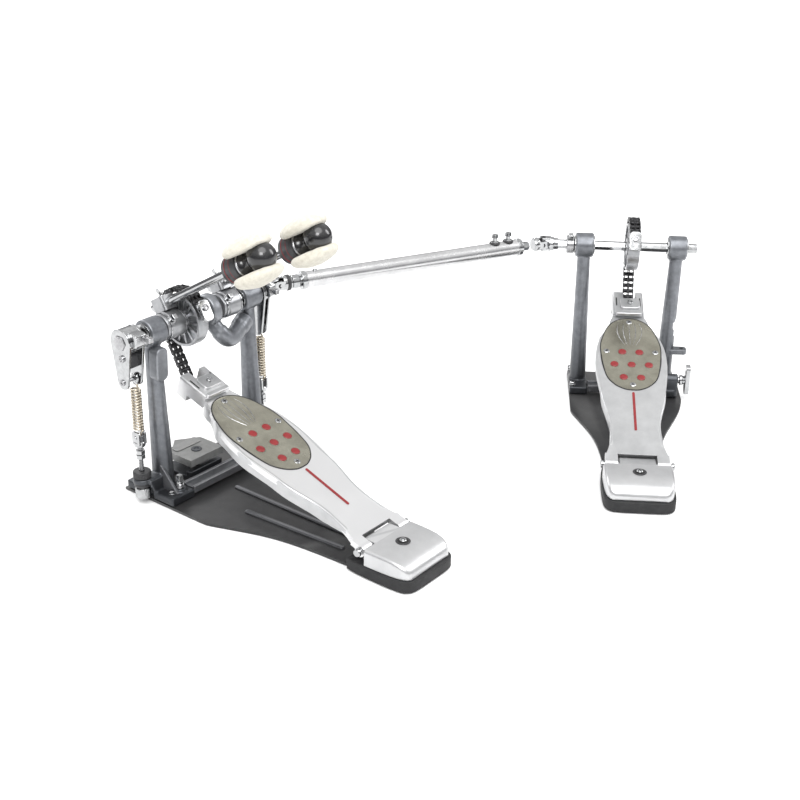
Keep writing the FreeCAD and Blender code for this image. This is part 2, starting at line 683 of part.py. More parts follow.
def spring(side, x, pedal):
    """Extension spring with its top hook, and the adjuster it hangs from: rod, nuts and knob."""
    top, bottom = size("spring_top"), size("spring_bottom")
    coil = DOC.addObject("Part::Helix", side + "_helix")
    bind(coil, Pitch="( spring_top - spring_bottom ) / spring_turns",
         Height="spring_top - spring_bottom", Radius="spring_radius - spring_wire")
    wire = DOC.addObject("Part::Circle", side + "_wire")
    bind(wire, Radius="spring_wire")
    wire_at = Vector(size("spring_radius") - size("spring_wire"), 0, 0)
    wire.Placement = Placement(wire_at, Rotation(X_AXIS, 90))
    swept = DOC.addObject("Part::Sweep", side + "_coil")
    swept.Sections = [wire]
    swept.Spine = (coil, ["Edge1"])
    swept.Solid = True
    swept.Frenet = True
    subpart(side + "_spring", swept, pedal.multiply(Placement(Vector(x, 0, bottom), Rotation())))

    hook_z = size("axle_height") - size("rocker_reach")
    shank = box("3", "6", "%.3f" % (hook_z - top - 6), (x, 0, top + 2))
    eye = cylinder("6", "3", (x - 1.5, 0, hook_z), X_AXIS)
    hole = cylinder("3", "20", (x - 10, 0, hook_z), X_AXIS)
    subpart(side + "_spring_hook", cut(fuse([shank, eye]), hole), pedal)

    low = size("bracket_z")
    above = low + size("bracket_thick")
    knob = cylinder("knob_radius", "knob_height", (x, 0, above + 0.1))
    thread = cylinder("rod_radius + running_gap", "60", (x, 0, low))
    subpart(side + "_tension_knob", cut(knob, thread), pedal)


def adjusters(places, pedal):
    """Threaded rods that the springs hang from, each with its clevis block and lower nuts."""
    low = size("bracket_z")
    rods = []
    for x in places:
        rod = cylinder("rod_radius", "%.3f" % (size("spring_pivot") - 4 - size("plate_thick") - 2),
                       (x, 0, size("plate_thick") + 2))
        block = cylinder("7.5", "12", (x, 0, size("spring_pivot") - 6))
        nut = cylinder("9", "13", (x, 0, size("plate_thick") + 3))
        ring = cylinder("9.5", "4", (x, 0, low - 4.1))
        rods.append(fuse([rod, block, nut, ring]))
    subpart("spring_adjusters", group(rods), pedal)


# ---------------------------------------------------------------- axles and the drive shaft


def yoke(centre, out, ears, with_cross):
    """A fork on one side of a universal joint; out points from the joint's centre to the shaft."""
    reach, base = size("yoke_reach"), size("yoke_base")
    wide = size("yoke_radius")
    across = ears.cross(out)
    flange = cylinder("yoke_radius", "yoke_base", centre + out * (reach - base), out)
    solids = [flange]
    frame = Rotation(across, ears, out, "ZXY")
    for side in (-1, 1):
        ear = box("8", "2.6", "%.3f" % (reach + 2.0), (0, 0, 0))
        corner = Vector(-4, side * (wide - 1.3) - 1.3, -3)
        ear.Placement = Placement(centre + frame.multVec(corner), frame)
        solids.append(ear)
        inward = ears * -side
        length = wide - 1 if with_cross else wide - 1 - size("cross_radius") - 0.4
        solids.append(cylinder("1.8", "%.3f" % length, centre + ears * side * (wide - 1), inward))
    if with_cross:
        solids.append(ball("cross_radius", centre))
    trim = cylinder("yoke_radius", "60", centre - out * 30, out)
    both = DOC.addObject("Part::MultiCommon", "fork")
    both.Shapes = [fuse(solids), trim]
    return both


def axle(name, start, end, pedal, joint=None):
    """A round steel axle, with a fork of the universal joint on its end where it has one."""
    high = size("axle_height")
    bar = cylinder("axle_radius", "%.3f" % (end - start), (start, 0, high), X_AXIS)
    solids = [bar]
    if joint is not None:
        out = X_AXIS * (-1 if joint > end else 1)
        solids.append(yoke(Vector(joint, 0, high), out, Z_AXIS, True))
    subpart(name, fuse(solids) if len(solids) > 1 else bar, pedal)


def drive_shaft(first, second):
    """Telescopic shaft between the two universal joints: an outer tube and an inner rod."""
    near = first.multVec(Vector(size("joint_x"), 0, size("axle_height")))
    far = second.multVec(Vector(size("second_joint_x"), 0, size("axle_height")))
    along = (far - near).normalize()
    ears = Z_AXIS.cross(along)
    reach = size("yoke_reach")
    tube = cylinder("tube_radius", "tube_end - tube_start", near + along * size("tube_start"), along)
    bore = cylinder("shaft_rod_radius + running_gap", "tube_end",
                    near + along * size("bore_start"), along)
    stub = cylinder("shaft_rod_radius", "tube_start - yoke_reach + 2", near + along * (reach - 1), along)
    subpart("shaft_tube", cut(fuse([tube, stub, yoke(near, along, ears, False)]), bore))
    length = (far - near).Length - reach - size("rod_end")
    rod = cylinder("shaft_rod_radius", "%.3f" % (length + 1), near + along * size("rod_end"), along)
    subpart("shaft_rod", fuse([rod, yoke(far, along * -1, ears, False)]))


def wing_key(pedal):
    """Wing-headed key screw on the second pedal's right foot."""
    x, y, z = size("wing_x"), size("wing_y"), size("wing_z")
    shank = cylinder("wing_radius", "9", (x, y, z), X_AXIS)
    collar = cylinder("7", "4", (x + 2, y, z), X_AXIS)
    wing = box("7", "9", "34", (x + 10, y, z - 16))
    subpart("slave_wing_key", fuse([shank, collar, wing]), pedal)


def main():
    """Build both pedals and the drive shaft."""
    primary = Placement()
    stand = Vector(size("second_x"), size("second_y"), 0)
    second = Placement(stand, Rotation(Z_AXIS, size("second_turn")))
    for prefix, pedal, right in (
        ("primary", primary, "plate_right_back"),
        ("slave", second, "plate_half_back"),
    ):
        base_plate(prefix, pedal, right)
        heel(prefix, pedal)
        footboard(prefix, pedal)
        cam(prefix, pedal)
        chain(prefix, pedal)

    left_x, right_x = size("left_housing_x"), size("right_housing_x")
    left_spring, right_spring = size("left_spring_x"), size("right_spring_x")
    post("primary_left_post", left_x, "left_housing_length", left_x, -84, -36, left_spring, primary)
    post("primary_right_post", right_x, "right_housing_length", right_x, 132, 84, right_spring, primary)
    crossbar("primary", -36, 84, primary)
    bearings("primary_bearings", [
        (left_x, size("left_housing_length")),
        (size("centre_disc_x"), size("centre_disc_width")),
        (right_x, size("right_housing_length")),
    ], primary)
    centre_arm(primary)
    hoop_clamp(primary)
    spurs = []
    for foot_x in (left_x, right_x):
        x, y = spur_place(foot_x)
        spurs.append(fuse([
            cylinder("spur_radius", "24", (x, y, size("plate_thick") + 1.5)),
            box("6", "6", "8", (x, y, size("plate_thick") + 25)),
        ]))
    subpart("spur_screws", group(spurs), primary)

    far = size("second_housing_x")
    ear = box("24", "9", "9", (far + 6, -8, 92))
    wing_y, wing_z = size("wing_y"), size("wing_z")
    grip = fuse([
        cylinder("8", "16", (far - 2, wing_y, wing_z), X_AXIS),
        box("16", "16", "%.3f" % (wing_z - size("plate_thick")), (far + 6, wing_y, size("plate_thick"))),
    ])
    post("slave_left_post", -far, "second_housing_length", -far + 3, -75, -46, None, second)
    post("slave_right_post", far, "second_housing_length", far - 3, 75, 46, None, second, [ear, grip])
    crossbar("slave", -46, 46, second)
    bearings("slave_bearings", [
        (-far, size("second_housing_length")),
        (far, size("second_housing_length")),
    ], second)
    wing_key(second)

    hub("primary_beater_hub", size("first_hub_x"), size("first_beater_x"), primary)
    hub("second_beater_hub", size("second_hub_x"), size("second_beater_x"), primary)
    beater("primary_beater", size("first_beater_x"), primary)
    beater("second_beater", size("second_beater_x"), primary)
    rocker("left_rocker_arm", left_spring, primary)
    rocker("right_rocker_arm", right_spring, primary)
    spring("left", left_spring, primary)
    spring("right", right_spring, primary)
    adjusters([left_spring, right_spring], primary)

    reach = size("yoke_reach")
    axle("primary_axle", left_spring - 9, size("centre_disc_x") + 5, primary)
    axle("second_axle", size("centre_disc_x") + 8, size("joint_x") - reach, primary, size("joint_x"))
    axle("slave_axle", size("second_joint_x") + reach, far + 26, second, size("second_joint_x"))
    drive_shaft(primary, second)


def write():
    """Check every object and write the sub-parts."""
    DOC.recompute()
    for item in DOC.Objects:
        wrong = [s for s in item.State if s in ("Invalid", "Error")]
        if wrong:
            raise RuntimeError("%s (%s) failed: %s" % (item.Name, item.Label, item.State))
    os.makedirs("parts", exist_ok=True)
    for item in SUBPARTS:
        shape = item.Shape
        if shape.isNull() or not shape.isValid():
            raise RuntimeError(item.Label + " has no valid shape")
        shape.exportStep("parts/%s.step" % item.Label)
        print("%-26s %2d solids %10.0f mm3" % (item.Label, len(shape.Solids), shape.Volume))


main()
write()
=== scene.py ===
import json
import math

import bmesh
import bpy
from mathutils import Matrix, Vector, noise


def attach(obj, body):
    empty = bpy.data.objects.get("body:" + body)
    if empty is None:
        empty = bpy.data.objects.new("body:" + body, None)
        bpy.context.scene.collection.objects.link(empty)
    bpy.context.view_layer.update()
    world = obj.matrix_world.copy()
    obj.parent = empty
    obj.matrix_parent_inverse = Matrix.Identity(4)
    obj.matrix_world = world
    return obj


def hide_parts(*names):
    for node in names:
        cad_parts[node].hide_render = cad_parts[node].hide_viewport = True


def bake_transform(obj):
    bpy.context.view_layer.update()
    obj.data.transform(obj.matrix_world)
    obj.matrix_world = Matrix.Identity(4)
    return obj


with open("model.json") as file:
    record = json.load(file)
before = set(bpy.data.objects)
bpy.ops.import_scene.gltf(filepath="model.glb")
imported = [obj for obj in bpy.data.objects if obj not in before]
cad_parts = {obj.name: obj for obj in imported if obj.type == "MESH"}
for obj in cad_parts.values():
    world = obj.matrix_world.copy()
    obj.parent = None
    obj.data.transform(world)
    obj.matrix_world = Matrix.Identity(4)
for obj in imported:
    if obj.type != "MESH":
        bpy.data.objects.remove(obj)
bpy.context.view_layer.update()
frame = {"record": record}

# Lengths are in millimetres in each pedal's own frame: origin on the floor under the axle,
# X along the axle, -Y towards the player.
MM = 0.001
X, Y, Z = Vector((1, 0, 0)), Vector((0, 1, 0)), Vector((0, 0, 1))
AXLE = 203.0
HINGE_Y, HINGE_Z, TILT = -292.0, 27.0, 20.0
BOARD_TOP = 6.0
CAM_X, CHAIN_R = 2.0, 36.0
NEAR_JOINT, FAR_JOINT = 152, -116
SLAVE_POST = 61
PLATE_TOP = 3
FOOT_EDGE = -70
CLAMP_X = 12
HOUSINGS = (("left", -48.5, 23.0), ("right", 101.0, 27.0))
SPRINGS = (("left", -77.0), ("right", 122.0))
BEATERS = (("primary", -22.5, -15.5), ("second", 65.0, 72.0))
FIRST = Matrix.Scale(MM, 4)
SECOND = (
    Matrix.Translation((0.564, -0.2575, 0))
    @ Matrix.Rotation(math.radians(-56.1), 4, "Z")
    @ Matrix.Scale(MM, 4)
)
PEDALS = (("primary", FIRST), ("slave", SECOND))
BOARD = Matrix.Translation((0, HINGE_Y, HINGE_Z)) @ Matrix.Rotation(math.radians(TILT), 4, "X")
BODY = {
    node: body
    for body, nodes in frame["record"]["behaviour"]["bodies"].items()
    for node in nodes
}


# ---------------------------------------------------------------- materials


def ramp(nodes, stops):
    """Colour ramp through (place, colour) stops."""
    item = nodes.new("ShaderNodeValToRGB")
    while len(item.color_ramp.elements) < len(stops):
        item.color_ramp.elements.new(0.5)
    for element, (place, colour) in zip(item.color_ramp.elements, stops):
        element.position = place
        element.color = (*colour, 1)
    return item


def finish(name, dark, light, metallic, rough, scale=90, bump=0.08, grain=1400, scratch=0.0,
           coat=0.0, sheen=0.0, distance=0.0003, worn=None, low=None):
    """A finish with mottled colour, patchy gloss and a grain, at the sizes given in 1/m.

    worn is the colour of rubbed edges, and low the colour of painted shade that the piece darkens
    to towards the floor.
    """
    item = bpy.data.materials.new(name)
    item.use_nodes = True
    nodes, links = item.node_tree.nodes, item.node_tree.links
    shader = nodes["Principled BSDF"]
    shader.inputs["Metallic"].default_value = metallic
    shader.inputs["Coat Weight"].default_value = coat
    shader.inputs["Coat Roughness"].default_value = 0.12
    shader.inputs["Sheen Weight"].default_value = sheen
    shader.inputs["Sheen Roughness"].default_value = 0.6
    place = nodes.new("ShaderNodeTexCoord")

    def cloud(size, detail=5.0):
        made = nodes.new("ShaderNodeTexNoise")
        made.inputs["Scale"].default_value = size
        made.inputs["Detail"].default_value = detail
        made.inputs["Roughness"].default_value = 0.62
        links.new(place.outputs["Object"], made.inputs["Vector"])
        return made

    mottle = cloud(scale)
    tone = ramp(nodes, [(0.3, dark), (0.7, light)])
    links.new(mottle.outputs["Fac"], tone.inputs["Fac"])
    colour = tone.outputs["Color"]
    if worn:
        shape = nodes.new("ShaderNodeNewGeometry")
        edge = ramp(nodes, [(0.51, (0, 0, 0)), (0.60, (1, 1, 1))])
        links.new(shape.outputs["Pointiness"], edge.inputs["Fac"])
        mix = nodes.new("ShaderNodeMix")
        mix.data_type = "RGBA"
        links.new(edge.outputs["Color"], mix.inputs["Factor"])
        links.new(colour, mix.inputs["A"])
        mix.inputs["B"].default_value = (*worn, 1)
        colour = mix.outputs["Result"]
    # Painted shade: towards the floor the colour darkens to low.
    if low:
        split = nodes.new("ShaderNodeSeparateXYZ")
        links.new(place.outputs["Object"], split.inputs["Vector"])
        rise = nodes.new("ShaderNodeMapRange")
        rise.inputs["From Min"].default_value, rise.inputs["From Max"].default_value = 0.012, 0.11
        links.new(split.outputs["Z"], rise.inputs["Value"])
        shade = nodes.new("ShaderNodeMix")
        shade.data_type = "RGBA"
        links.new(rise.outputs["Result"], shade.inputs["Factor"])
        shade.inputs["A"].default_value = (*low, 1)
        links.new(colour, shade.inputs["B"])
        colour = shade.outputs["Result"]
    links.new(colour, shader.inputs["Base Color"])
    gloss = nodes.new("ShaderNodeMapRange")
    gloss.inputs["From Min"].default_value = 0.3
    gloss.inputs["From Max"].default_value = 0.7
    gloss.inputs["To Min"].default_value, gloss.inputs["To Max"].default_value = rough
    links.new(cloud(scale * 0.55, 8.0).outputs["Fac"], gloss.inputs["Value"])
    links.new(gloss.outputs["Result"], shader.inputs["Roughness"])
    height = cloud(grain, 3.0).outputs["Fac"]
    if scratch:
        lines = nodes.new("ShaderNodeTexNoise")
        lines.inputs["Scale"].default_value = 60
        lines.inputs["Detail"].default_value = 6
        drawn = nodes.new("ShaderNodeMapping")
        drawn.inputs["Scale"].default_value = 30, 1, 30
        links.new(place.outputs["Object"], drawn.inputs["Vector"])
        links.new(drawn.outputs["Vector"], lines.inputs["Vector"])
        both = nodes.new("ShaderNodeMath")
        both.operation = "MULTIPLY_ADD"
        both.inputs[1].default_value = scratch
        links.new(lines.outputs["Fac"], both.inputs[0])
        links.new(height, both.inputs[2])
        height = both.outputs["Value"]
    bumps = nodes.new("ShaderNodeBump")
    bumps.inputs["Strength"].default_value = bump
    bumps.inputs["Distance"].default_value = distance
    links.new(height, bumps.inputs["Height"])
    links.new(bumps.outputs["Normal"], shader.inputs["Normal"])
    return item


# Towards the floor the cast grey darkens to its low colour, which is painted shade.
CAST = finish("cast", (0.135, 0.142, 0.155), (0.205, 0.214, 0.23), 0.75, (0.3, 0.46), 130, 0.18,
              1500, worn=(0.34, 0.35, 0.37), low=(0.045, 0.048, 0.053))
# The cast grey darkened into painted shade, for parts down at the floor.
SHADED_CAST = finish("cast_foot_shade", (0.035, 0.037, 0.041), (0.075, 0.079, 0.086), 0.55, (0.3, 0.46), 130,
             0.18, 1500, worn=(0.2, 0.2, 0.21))
JAW = finish("cast_jaw", (0.15, 0.152, 0.148), (0.23, 0.232, 0.226), 0.7, (0.3, 0.44), 120, 0.16,
             1500, worn=(0.36, 0.36, 0.36))
LIGHT_CAST = finish("light_cast", (0.27, 0.275, 0.285), (0.38, 0.385, 0.395), 0.85, (0.26, 0.4),
                    110, 0.12)
BOARD_METAL = finish("board_metal", (0.40, 0.405, 0.41), (0.485, 0.49, 0.495), 0.85, (0.28, 0.4),
                     70, 0.1, 2200, worn=(0.66, 0.66, 0.665))
PLATE = finish("plate_paint", (0.011, 0.011, 0.012), (0.020, 0.020, 0.021), 0.0, (0.32, 0.46), 60,
               0.16, 1700, worn=(0.05, 0.05, 0.05))
RUBBER = finish("rubber", (0.008, 0.008, 0.009), (0.018, 0.018, 0.019), 0.0, (0.62, 0.8), 150, 0.3,
                1100)
CHROME = finish("chrome", (0.34, 0.345, 0.35), (0.48, 0.485, 0.49), 1.0, (0.06, 0.16), 160, 0.03,
                600)
TUBE = finish("tube", (0.50, 0.50, 0.505), (0.60, 0.60, 0.605), 0.9, (0.2, 0.32), 50, 0.05, 900,
              scratch=0.6)
STEEL = finish("steel", (0.30, 0.30, 0.31), (0.44, 0.44, 0.445), 1.0, (0.2, 0.34), 200, 0.08)
DULL = finish("dull_steel", (0.10, 0.10, 0.105), (0.2, 0.2, 0.205), 1.0, (0.24, 0.4), 200, 0.08)
SPRING = finish("spring_steel", (0.36, 0.31, 0.24), (0.62, 0.57, 0.48), 0.95, (0.2, 0.34), 240,
                0.06)
CHAIN = finish("chain_black", (0.012, 0.012, 0.013), (0.035, 0.035, 0.037), 0.6, (0.25, 0.42), 300,
               0.1)
BLACK = finish("gloss_black", (0.009, 0.009, 0.010), (0.02, 0.02, 0.021), 0.0, (0.14, 0.26), 110,
               0.05, 900, coat=0.4)
SATIN_BLACK = finish("satin_black", (0.018, 0.018, 0.02), (0.036, 0.036, 0.038), 0.0, (0.36, 0.5),
                     130, 0.1)
KNOB = finish("knob", (0.02, 0.02, 0.021), (0.04, 0.04, 0.042), 0.3, (0.34, 0.5), 200, 0.1)
FELT = finish("felt", (0.52, 0.49, 0.41), (0.68, 0.65, 0.565), 0.0, (0.85, 0.97), 210, 0.7, 2600,
              sheen=0.35, distance=0.0006)
RED = finish("red_grip", (0.17, 0.007, 0.009), (0.24, 0.012, 0.014), 0.0, (0.32, 0.46), 200, 0.16,
             1500)
# Near black for the insert's seam, and painted shade in the screw slots, toe slots, holes and the
# heel recess floor.
SEAM_BLACK_AND_HOLE_SHADE = finish("recess", (0.006, 0.006, 0.006), (0.014, 0.014, 0.014), 0.2, (0.5, 0.7), 200, 0.1)
SMOKED = finish("smoked", (0.21, 0.2, 0.16), (0.34, 0.33, 0.27), 0.85, (0.16, 0.3), 36, 0.06, 1200,
                scratch=0.4, coat=0.3)


# ---------------------------------------------------------------- shapes


def circle(radius, steps=32, start=0.0, end=360.0, at=(0, 0)):
    """Points round an arc, both ends included unless it is a full circle."""
    count = steps if end - start >= 360 else steps + 1
    return [
        (at[0] + radius * math.cos(a), at[1] + radius * math.sin(a))
        for a in (math.radians(start + (end - start) * n / steps) for n in range(count))
    ]


def capsule(length, first, last, steps):
    """Outline of two circles joined by tangents, the last circle down the second axis."""
    tip = math.degrees(math.asin((first - last) / length))
    top = circle(first, steps, -tip, 180 + tip)
    low = circle(last, steps, 180 + tip, 360 - tip, (0, -length))
    return top + low


def rounded(wide, high, radius):
    """Outline of a rectangle with rounded corners, centred."""
    a, b = wide / 2 - radius, high / 2 - radius
    corners = ((a, b, 0), (-a, b, 90), (-a, -b, 180), (a, -b, 270))
    return [p for x, y, turn in corners for p in circle(radius, 5, turn, turn + 90, (x, y))]


def curve(points, steps=8, closed=False):
    """Points on a smooth line through points."""
    found = []
    count = len(points)
    for n in range(count if closed else count - 1):
        if closed:
            a, b, c, d = (points[(n + k) % count] for k in (-1, 0, 1, 2))
        else:
            a, b, c, d = (points[min(max(n + k, 0), count - 1)] for k in (-1, 0, 1, 2))
        for step in range(steps):
            t = step / steps
            found.append(
                0.5 * ((2 * b) + (c - a) * t + (2 * a - 5 * b + 4 * c - d) * t * t
                       + (3 * b - a - 3 * c + d) * t ** 3)
            )
    if not closed:
        found.append(points[-1].copy())
    return found


class Piece:
    """A mesh put together from turned, cut and bent parts."""

    def __init__(self):
        self.mesh = bmesh.new()

    def skin(self, rings, closed=False):
        """Faces between rings of vertices, with flat ends unless the rings close on themselves."""
        made = [[self.mesh.verts.new(p) for p in ring] for ring in rings]
        pairs = list(zip(made, made[1:])) + ([(made[-1], made[0])] if closed else [])
        count = len(made[0])
        for low, high in pairs:
            for n in range(count):
                k = (n + 1) % count
                self.mesh.faces.new((low[n], low[k], high[k], high[n]))
        if not closed:
            self.mesh.faces.new(made[0][::-1])
            self.mesh.faces.new(made[-1])
        return self

    def turned(self, profile, at, axis, sides=40, knurl=0.0, hole=False, turn=0.0):
        """Turn a profile of (distance along the axis, radius) pairs round an axis."""
        at, axis = Vector(at), Vector(axis).normalized()
        side = X if abs(axis.dot(X)) < 0.9 else Y
        side = (side - axis * side.dot(axis)).normalized()
        other = axis.cross(side)
        rings = []
        for s, r in profile:
            ring = []
            for n in range(sides):
                a = math.tau * (n + turn) / sides
                far = r * (1 - knurl * (n % 2))
                ring.append(at + axis * s + (side * math.cos(a) + other * math.sin(a)) * far)
            rings.append(ring)
        return self.skin(rings, hole)

    def slab(self, outline, at, across, up, thick):
        """A flat outline of pairs along across and up, with a thickness centred on at."""
        at, across, up = Vector(at), Vector(across).normalized(), Vector(up).normalized()
        out = across.cross(up) * (thick / 2)
        rings = [[at + across * a + up * b + out * k for a, b in outline] for k in (-1, 1)]
        return self.skin(rings)

    def bent(self, points, radius, sides=12, closed=False):
        """A round bar bent along points."""
        points = [Vector(p) for p in points]
        count = len(points)
        rings, side = [], None
        for n, p in enumerate(points):
            before = points[n - 1] if n or closed else p
            after = points[(n + 1) % count] if n < count - 1 or closed else p
            along = (after - before).normalized()
            if side is None:
                side = along.orthogonal()
            side = (side - along * side.dot(along)).normalized()
            other = along.cross(side)
            size = radius[n] if isinstance(radius, list) else radius
            rings.append([
                p + (side * math.cos(a) + other * math.sin(a)) * size
                for a in (math.tau * k / sides for k in range(sides))
            ])
        return self.skin(rings, closed)

    def done(self, name, place, body, look, slot, replaces=(), bevel=0.4, segments=2, smooth=38,
             whole=False):
        """Make the object: bevelled edges, smooth shading, its material and body; slot is not
        used.
        """
        bmesh.ops.recalc_face_normals(self.mesh, faces=self.mesh.faces)
        self.mesh.transform(place)
        item = mesh_object(name, self.mesh, look, bevel, segments, smooth)
        if not whole:
            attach(item, body)
        if replaces:
            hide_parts(*replaces)
        return item


def mesh_object(name, mesh, look, bevel, segments=2, smooth=38):
    """A shown object from a bmesh."""
    data = bpy.data.meshes.new(name)
    mesh.to_mesh(data)
    mesh.free()
    data.materials.append(look)
    item = bpy.data.objects.new(name, data)
    bpy.context.scene.collection.objects.link(item)
    for face in data.polygons:
        face.use_smooth = True
    if bevel:
        edge = item.modifiers.new("edge", "BEVEL")
        edge.width = bevel * MM
        edge.segments = segments
        edge.limit_method = "ANGLE"
        edge.angle_limit = math.radians(smooth)
        edge.use_clamp_overlap = True
        item.modifiers.new("normals", "WEIGHTED_NORMAL")
    else:
        data.set_sharp_from_angle(angle=math.radians(smooth))
    return item


def welded(node):
    """A CAD node's mesh with its seams joined and its flat faces whole."""
    mesh = bmesh.new()
    mesh.from_mesh(bpy.data.objects[node].data)
    bmesh.ops.remove_doubles(mesh, verts=mesh.verts, dist=0.000004)
    bmesh.ops.dissolve_limit(mesh, angle_limit=math.radians(0.6), verts=mesh.verts,
                             edges=mesh.edges)
    return mesh


def stand_in(item, node):
    """Put an object in a CAD node's place."""
    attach(item, BODY[node])
    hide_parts(node)
    return item


def soften(node, look, width, segments=3):
    """Stand a copy of a CAD node with rounded edges in for it."""
    item = mesh_object(node + "_form", welded(node), look, width, segments, 34)
    return stand_in(item, node)


def cast(node, look):
    """Stand a copy of a CAD node with every corner run together, as in a casting, in for it."""
    item = mesh_object(node + "_form", welded(node), look, 0)
    grid = item.modifiers.new("grid", "REMESH")
    grid.mode = "VOXEL"
    grid.voxel_size = 1.1 * MM
    grid.use_smooth_shade = True
    soft = item.modifiers.new("soft", "SMOOTH")
    soft.factor = 0.5
    soft.iterations = 7
    return stand_in(item, node)


def paint(node, look):
    """Give a CAD node its material."""
    data = bpy.data.objects[node].data
    data.materials.clear()
    data.materials.append(look)


def screw(piece, at, out, radius, high):
    """A cap head standing out from a face."""
    piece.turned([(-0.6, radius), (high - 0.5, radius), (high, radius - 0.5),
                  (high, radius * 0.55), (high - 1.2, radius * 0.5)], at, out, 24)


def key_bolt(piece, at, out, long=9.0):
    """A square-headed key bolt on a round washer."""
    piece.turned([(0, 5.2), (1.4, 5.2)], at, out, 28)
    piece.turned([(1.2, 3.1), (long - 4.5, 3.1)], at, out, 20)
    piece.turned([(long - 5, 4.4), (long - 0.6, 4.4), (long, 3.7)], at, out, 4, turn=0.5)


# ---------------------------------------------------------------- plates, posts and boards


def insert_edge(gap=0.0):
    """The inset plate's closed outline in the board's frame."""
    start, end, half, wide = 122 + gap, 257 - gap, 38.5 - gap, 194
    right = [(0, start), (10, start + 1.4), (half * 0.6, start + 10),
             (half * 0.86, (start + wide) / 2 - 8), (half, wide), (half * 0.92, wide + 24),
             (half * 0.68, end - 15), (half * 0.34, end - 3), (0, end)]
    side = curve([Vector((x, y, 0)) for x, y in right], 8)
    other = [Vector((-p.x, p.y, 0)) for p in side[-2:0:-1]]
    return [(p.x, p.y) for p in side + other]


def board_top(v):
    """The half width of the footboard's top at a distance along it."""
    places = [(9, 38), (32, 31.5), (58, 30), (120, 40), (172, 45), (212, 40), (246, 25), (266, 20)]
    for (a, p), (b, q) in zip(places, places[1:]):
        if v <= b:
            t = max(0.0, (v - a) / (b - a))
            return p + (q - p) * t * t * (3 - 2 * t)
    return 20.0


def board(prefix, pedal):
    """The footboard with its inset plate, studs, grip strip, screws and toe clamp."""
    place, body, top = pedal @ BOARD, prefix + "_board", BOARD_TOP
    rest, toe_start, toe_low = place.inverted(), 286, -13
    shown = soften(prefix + "_footboard", BOARD_METAL, 1.3)
    for point in shown.data.vertices:
        at = rest @ point.co
        if at.y > toe_start and at.z < toe_low:
            point.co = place @ Vector((at.x, at.y, toe_low))

    plate = Piece().slab(insert_edge(0.5), (0, 0, top - 0.45), X, Y, 1.9)
    plate.done(prefix + "_insert", place, body, SMOKED, "smoked_metal", [prefix + "_insert_plate"],
               0.35)
    seam = Piece().bent([(x, y, top + 0.1) for x, y in insert_edge(0.1)], 0.75, 8, True)
    seam.done(prefix + "_insert_seam", place, body, SEAM_BLACK_AND_HOLE_SHADE, "smoked_metal", bevel=0)
    arcs = Piece()
    for number in range(5):
        lean = (number - 2) * 0.2
        path = [
            Vector((lean * 18 + math.sin(t * 2.4) * lean * 22, 205 + t * 42, top + 0.56))
            for t in (k / 10 for k in range(11))
        ]
        arcs.bent(path, [0.15 + 0.3 * math.sin(math.pi * k / 10) for k in range(11)], 6)
    arcs.done(prefix + "_insert_marks", place, body, STEEL, "smoked_metal", bevel=0)

    studs, rims = Piece(), Piece()
    for row, count in ((-1, 2), (0, 3), (1, 2)):
        for n in range(count):
            at = ((n - (count - 1) / 2) * 21.7, 168 + row * 23.4, top)
            studs.turned([(-0.8, 5.2), (0.5, 5.2), (1.1, 4.8), (1.45, 3.9), (1.6, 2.4),
                          (1.64, 0.4)], at, Z)
            rims.turned([(0.1, 6.0), (0.75, 5.8), (0.75, 5.3), (0.1, 5.3)], at, Z, 40, hole=True)
    studs.done(prefix + "_studs", place, body, RED, "red_grip", [prefix + "_grip_dots"], 0)
    rims.done(prefix + "_stud_rims", place, body, SMOKED, "smoked_metal", bevel=0)

    strip = Piece().slab(rounded(3.2, 66, 1.5), (0, 85, top + 0.15), X, Y, 0.9)
    strip.done(prefix + "_grip_strip", place, body, RED, "red_grip", bevel=0.15)

    heads, marks = Piece(), Piece()
    for at in ((0, 131.5), (31, 192), (-31, 192), (0, 249)):
        heads.turned([(0.2, 3.9), (0.9, 3.8), (1.25, 3.1), (1.35, 0.3)], (*at, top), Z, 32)
        # The crosses are dark marks of painted shade for the screws' slots.
        marks.slab(rounded(4.2, 0.9, 0.3), (*at, top + 1.3), X, Y, 0.35)
        marks.slab(rounded(0.9, 4.2, 0.3), (*at, top + 1.3), X, Y, 0.35)
    heads.done(prefix + "_insert_screws", place, body, CHROME, "chrome", bevel=0)
    marks.done(prefix + "_insert_screw_slot_shade", place, body, SEAM_BLACK_AND_HOLE_SHADE, "black_steel", bevel=0)

    toe = Piece()
    toe.slab(rounded(26, 20, 5), (CAM_X, 279, 13.2), X, Y, 3.6)
    toe.slab(rounded(34, 6, 2.5), (0, 262, 11.0), X, Y, 5.0)
    toe.done(prefix + "_toe_clamp", place, body, BOARD_METAL, "board_aluminium", bevel=1.1,
             segments=3)
    # The toe block's two slots are thin dark slabs of painted shade.
    slots = Piece()
    for side in (-1, 1):
        slots.slab(rounded(1.6, 16, 0.7), (side * 15.4, 284, 12.05), X, Y, 0.6)
    slots.done(prefix + "_toe_slot_shade", place, body, SEAM_BLACK_AND_HOLE_SHADE, "black_steel", bevel=0)
    bolt = Piece()
    screw(bolt, (CAM_X, 279, 15), Z, 3.6, 2.6)
    bolt.done(prefix + "_toe_screw", place, body, CHROME, "chrome", bevel=0.2)

    skirt = Piece()
    for side in (-1, 1):
        rings = []
        for v in range(26, 262, 4):
            wide = board_top(v)
            deep = 11.5 * min(1.0, (v - 20) / 40)
            edge = ((0.9, -0.15), (-0.35, 0.9), (-0.5, 4.0), (0.9, 5.5 + deep),
                    (2.6, 5.7 + deep), (3.6, 4.2), (3.0, -0.1))
            rings.append([Vector((side * (wide - a), v, top - b)) for a, b in edge])
        skirt.skin(rings)
    skirt.done(prefix + "_board_skirt", place, body, BOARD_METAL, "board_aluminium", bevel=0.35)


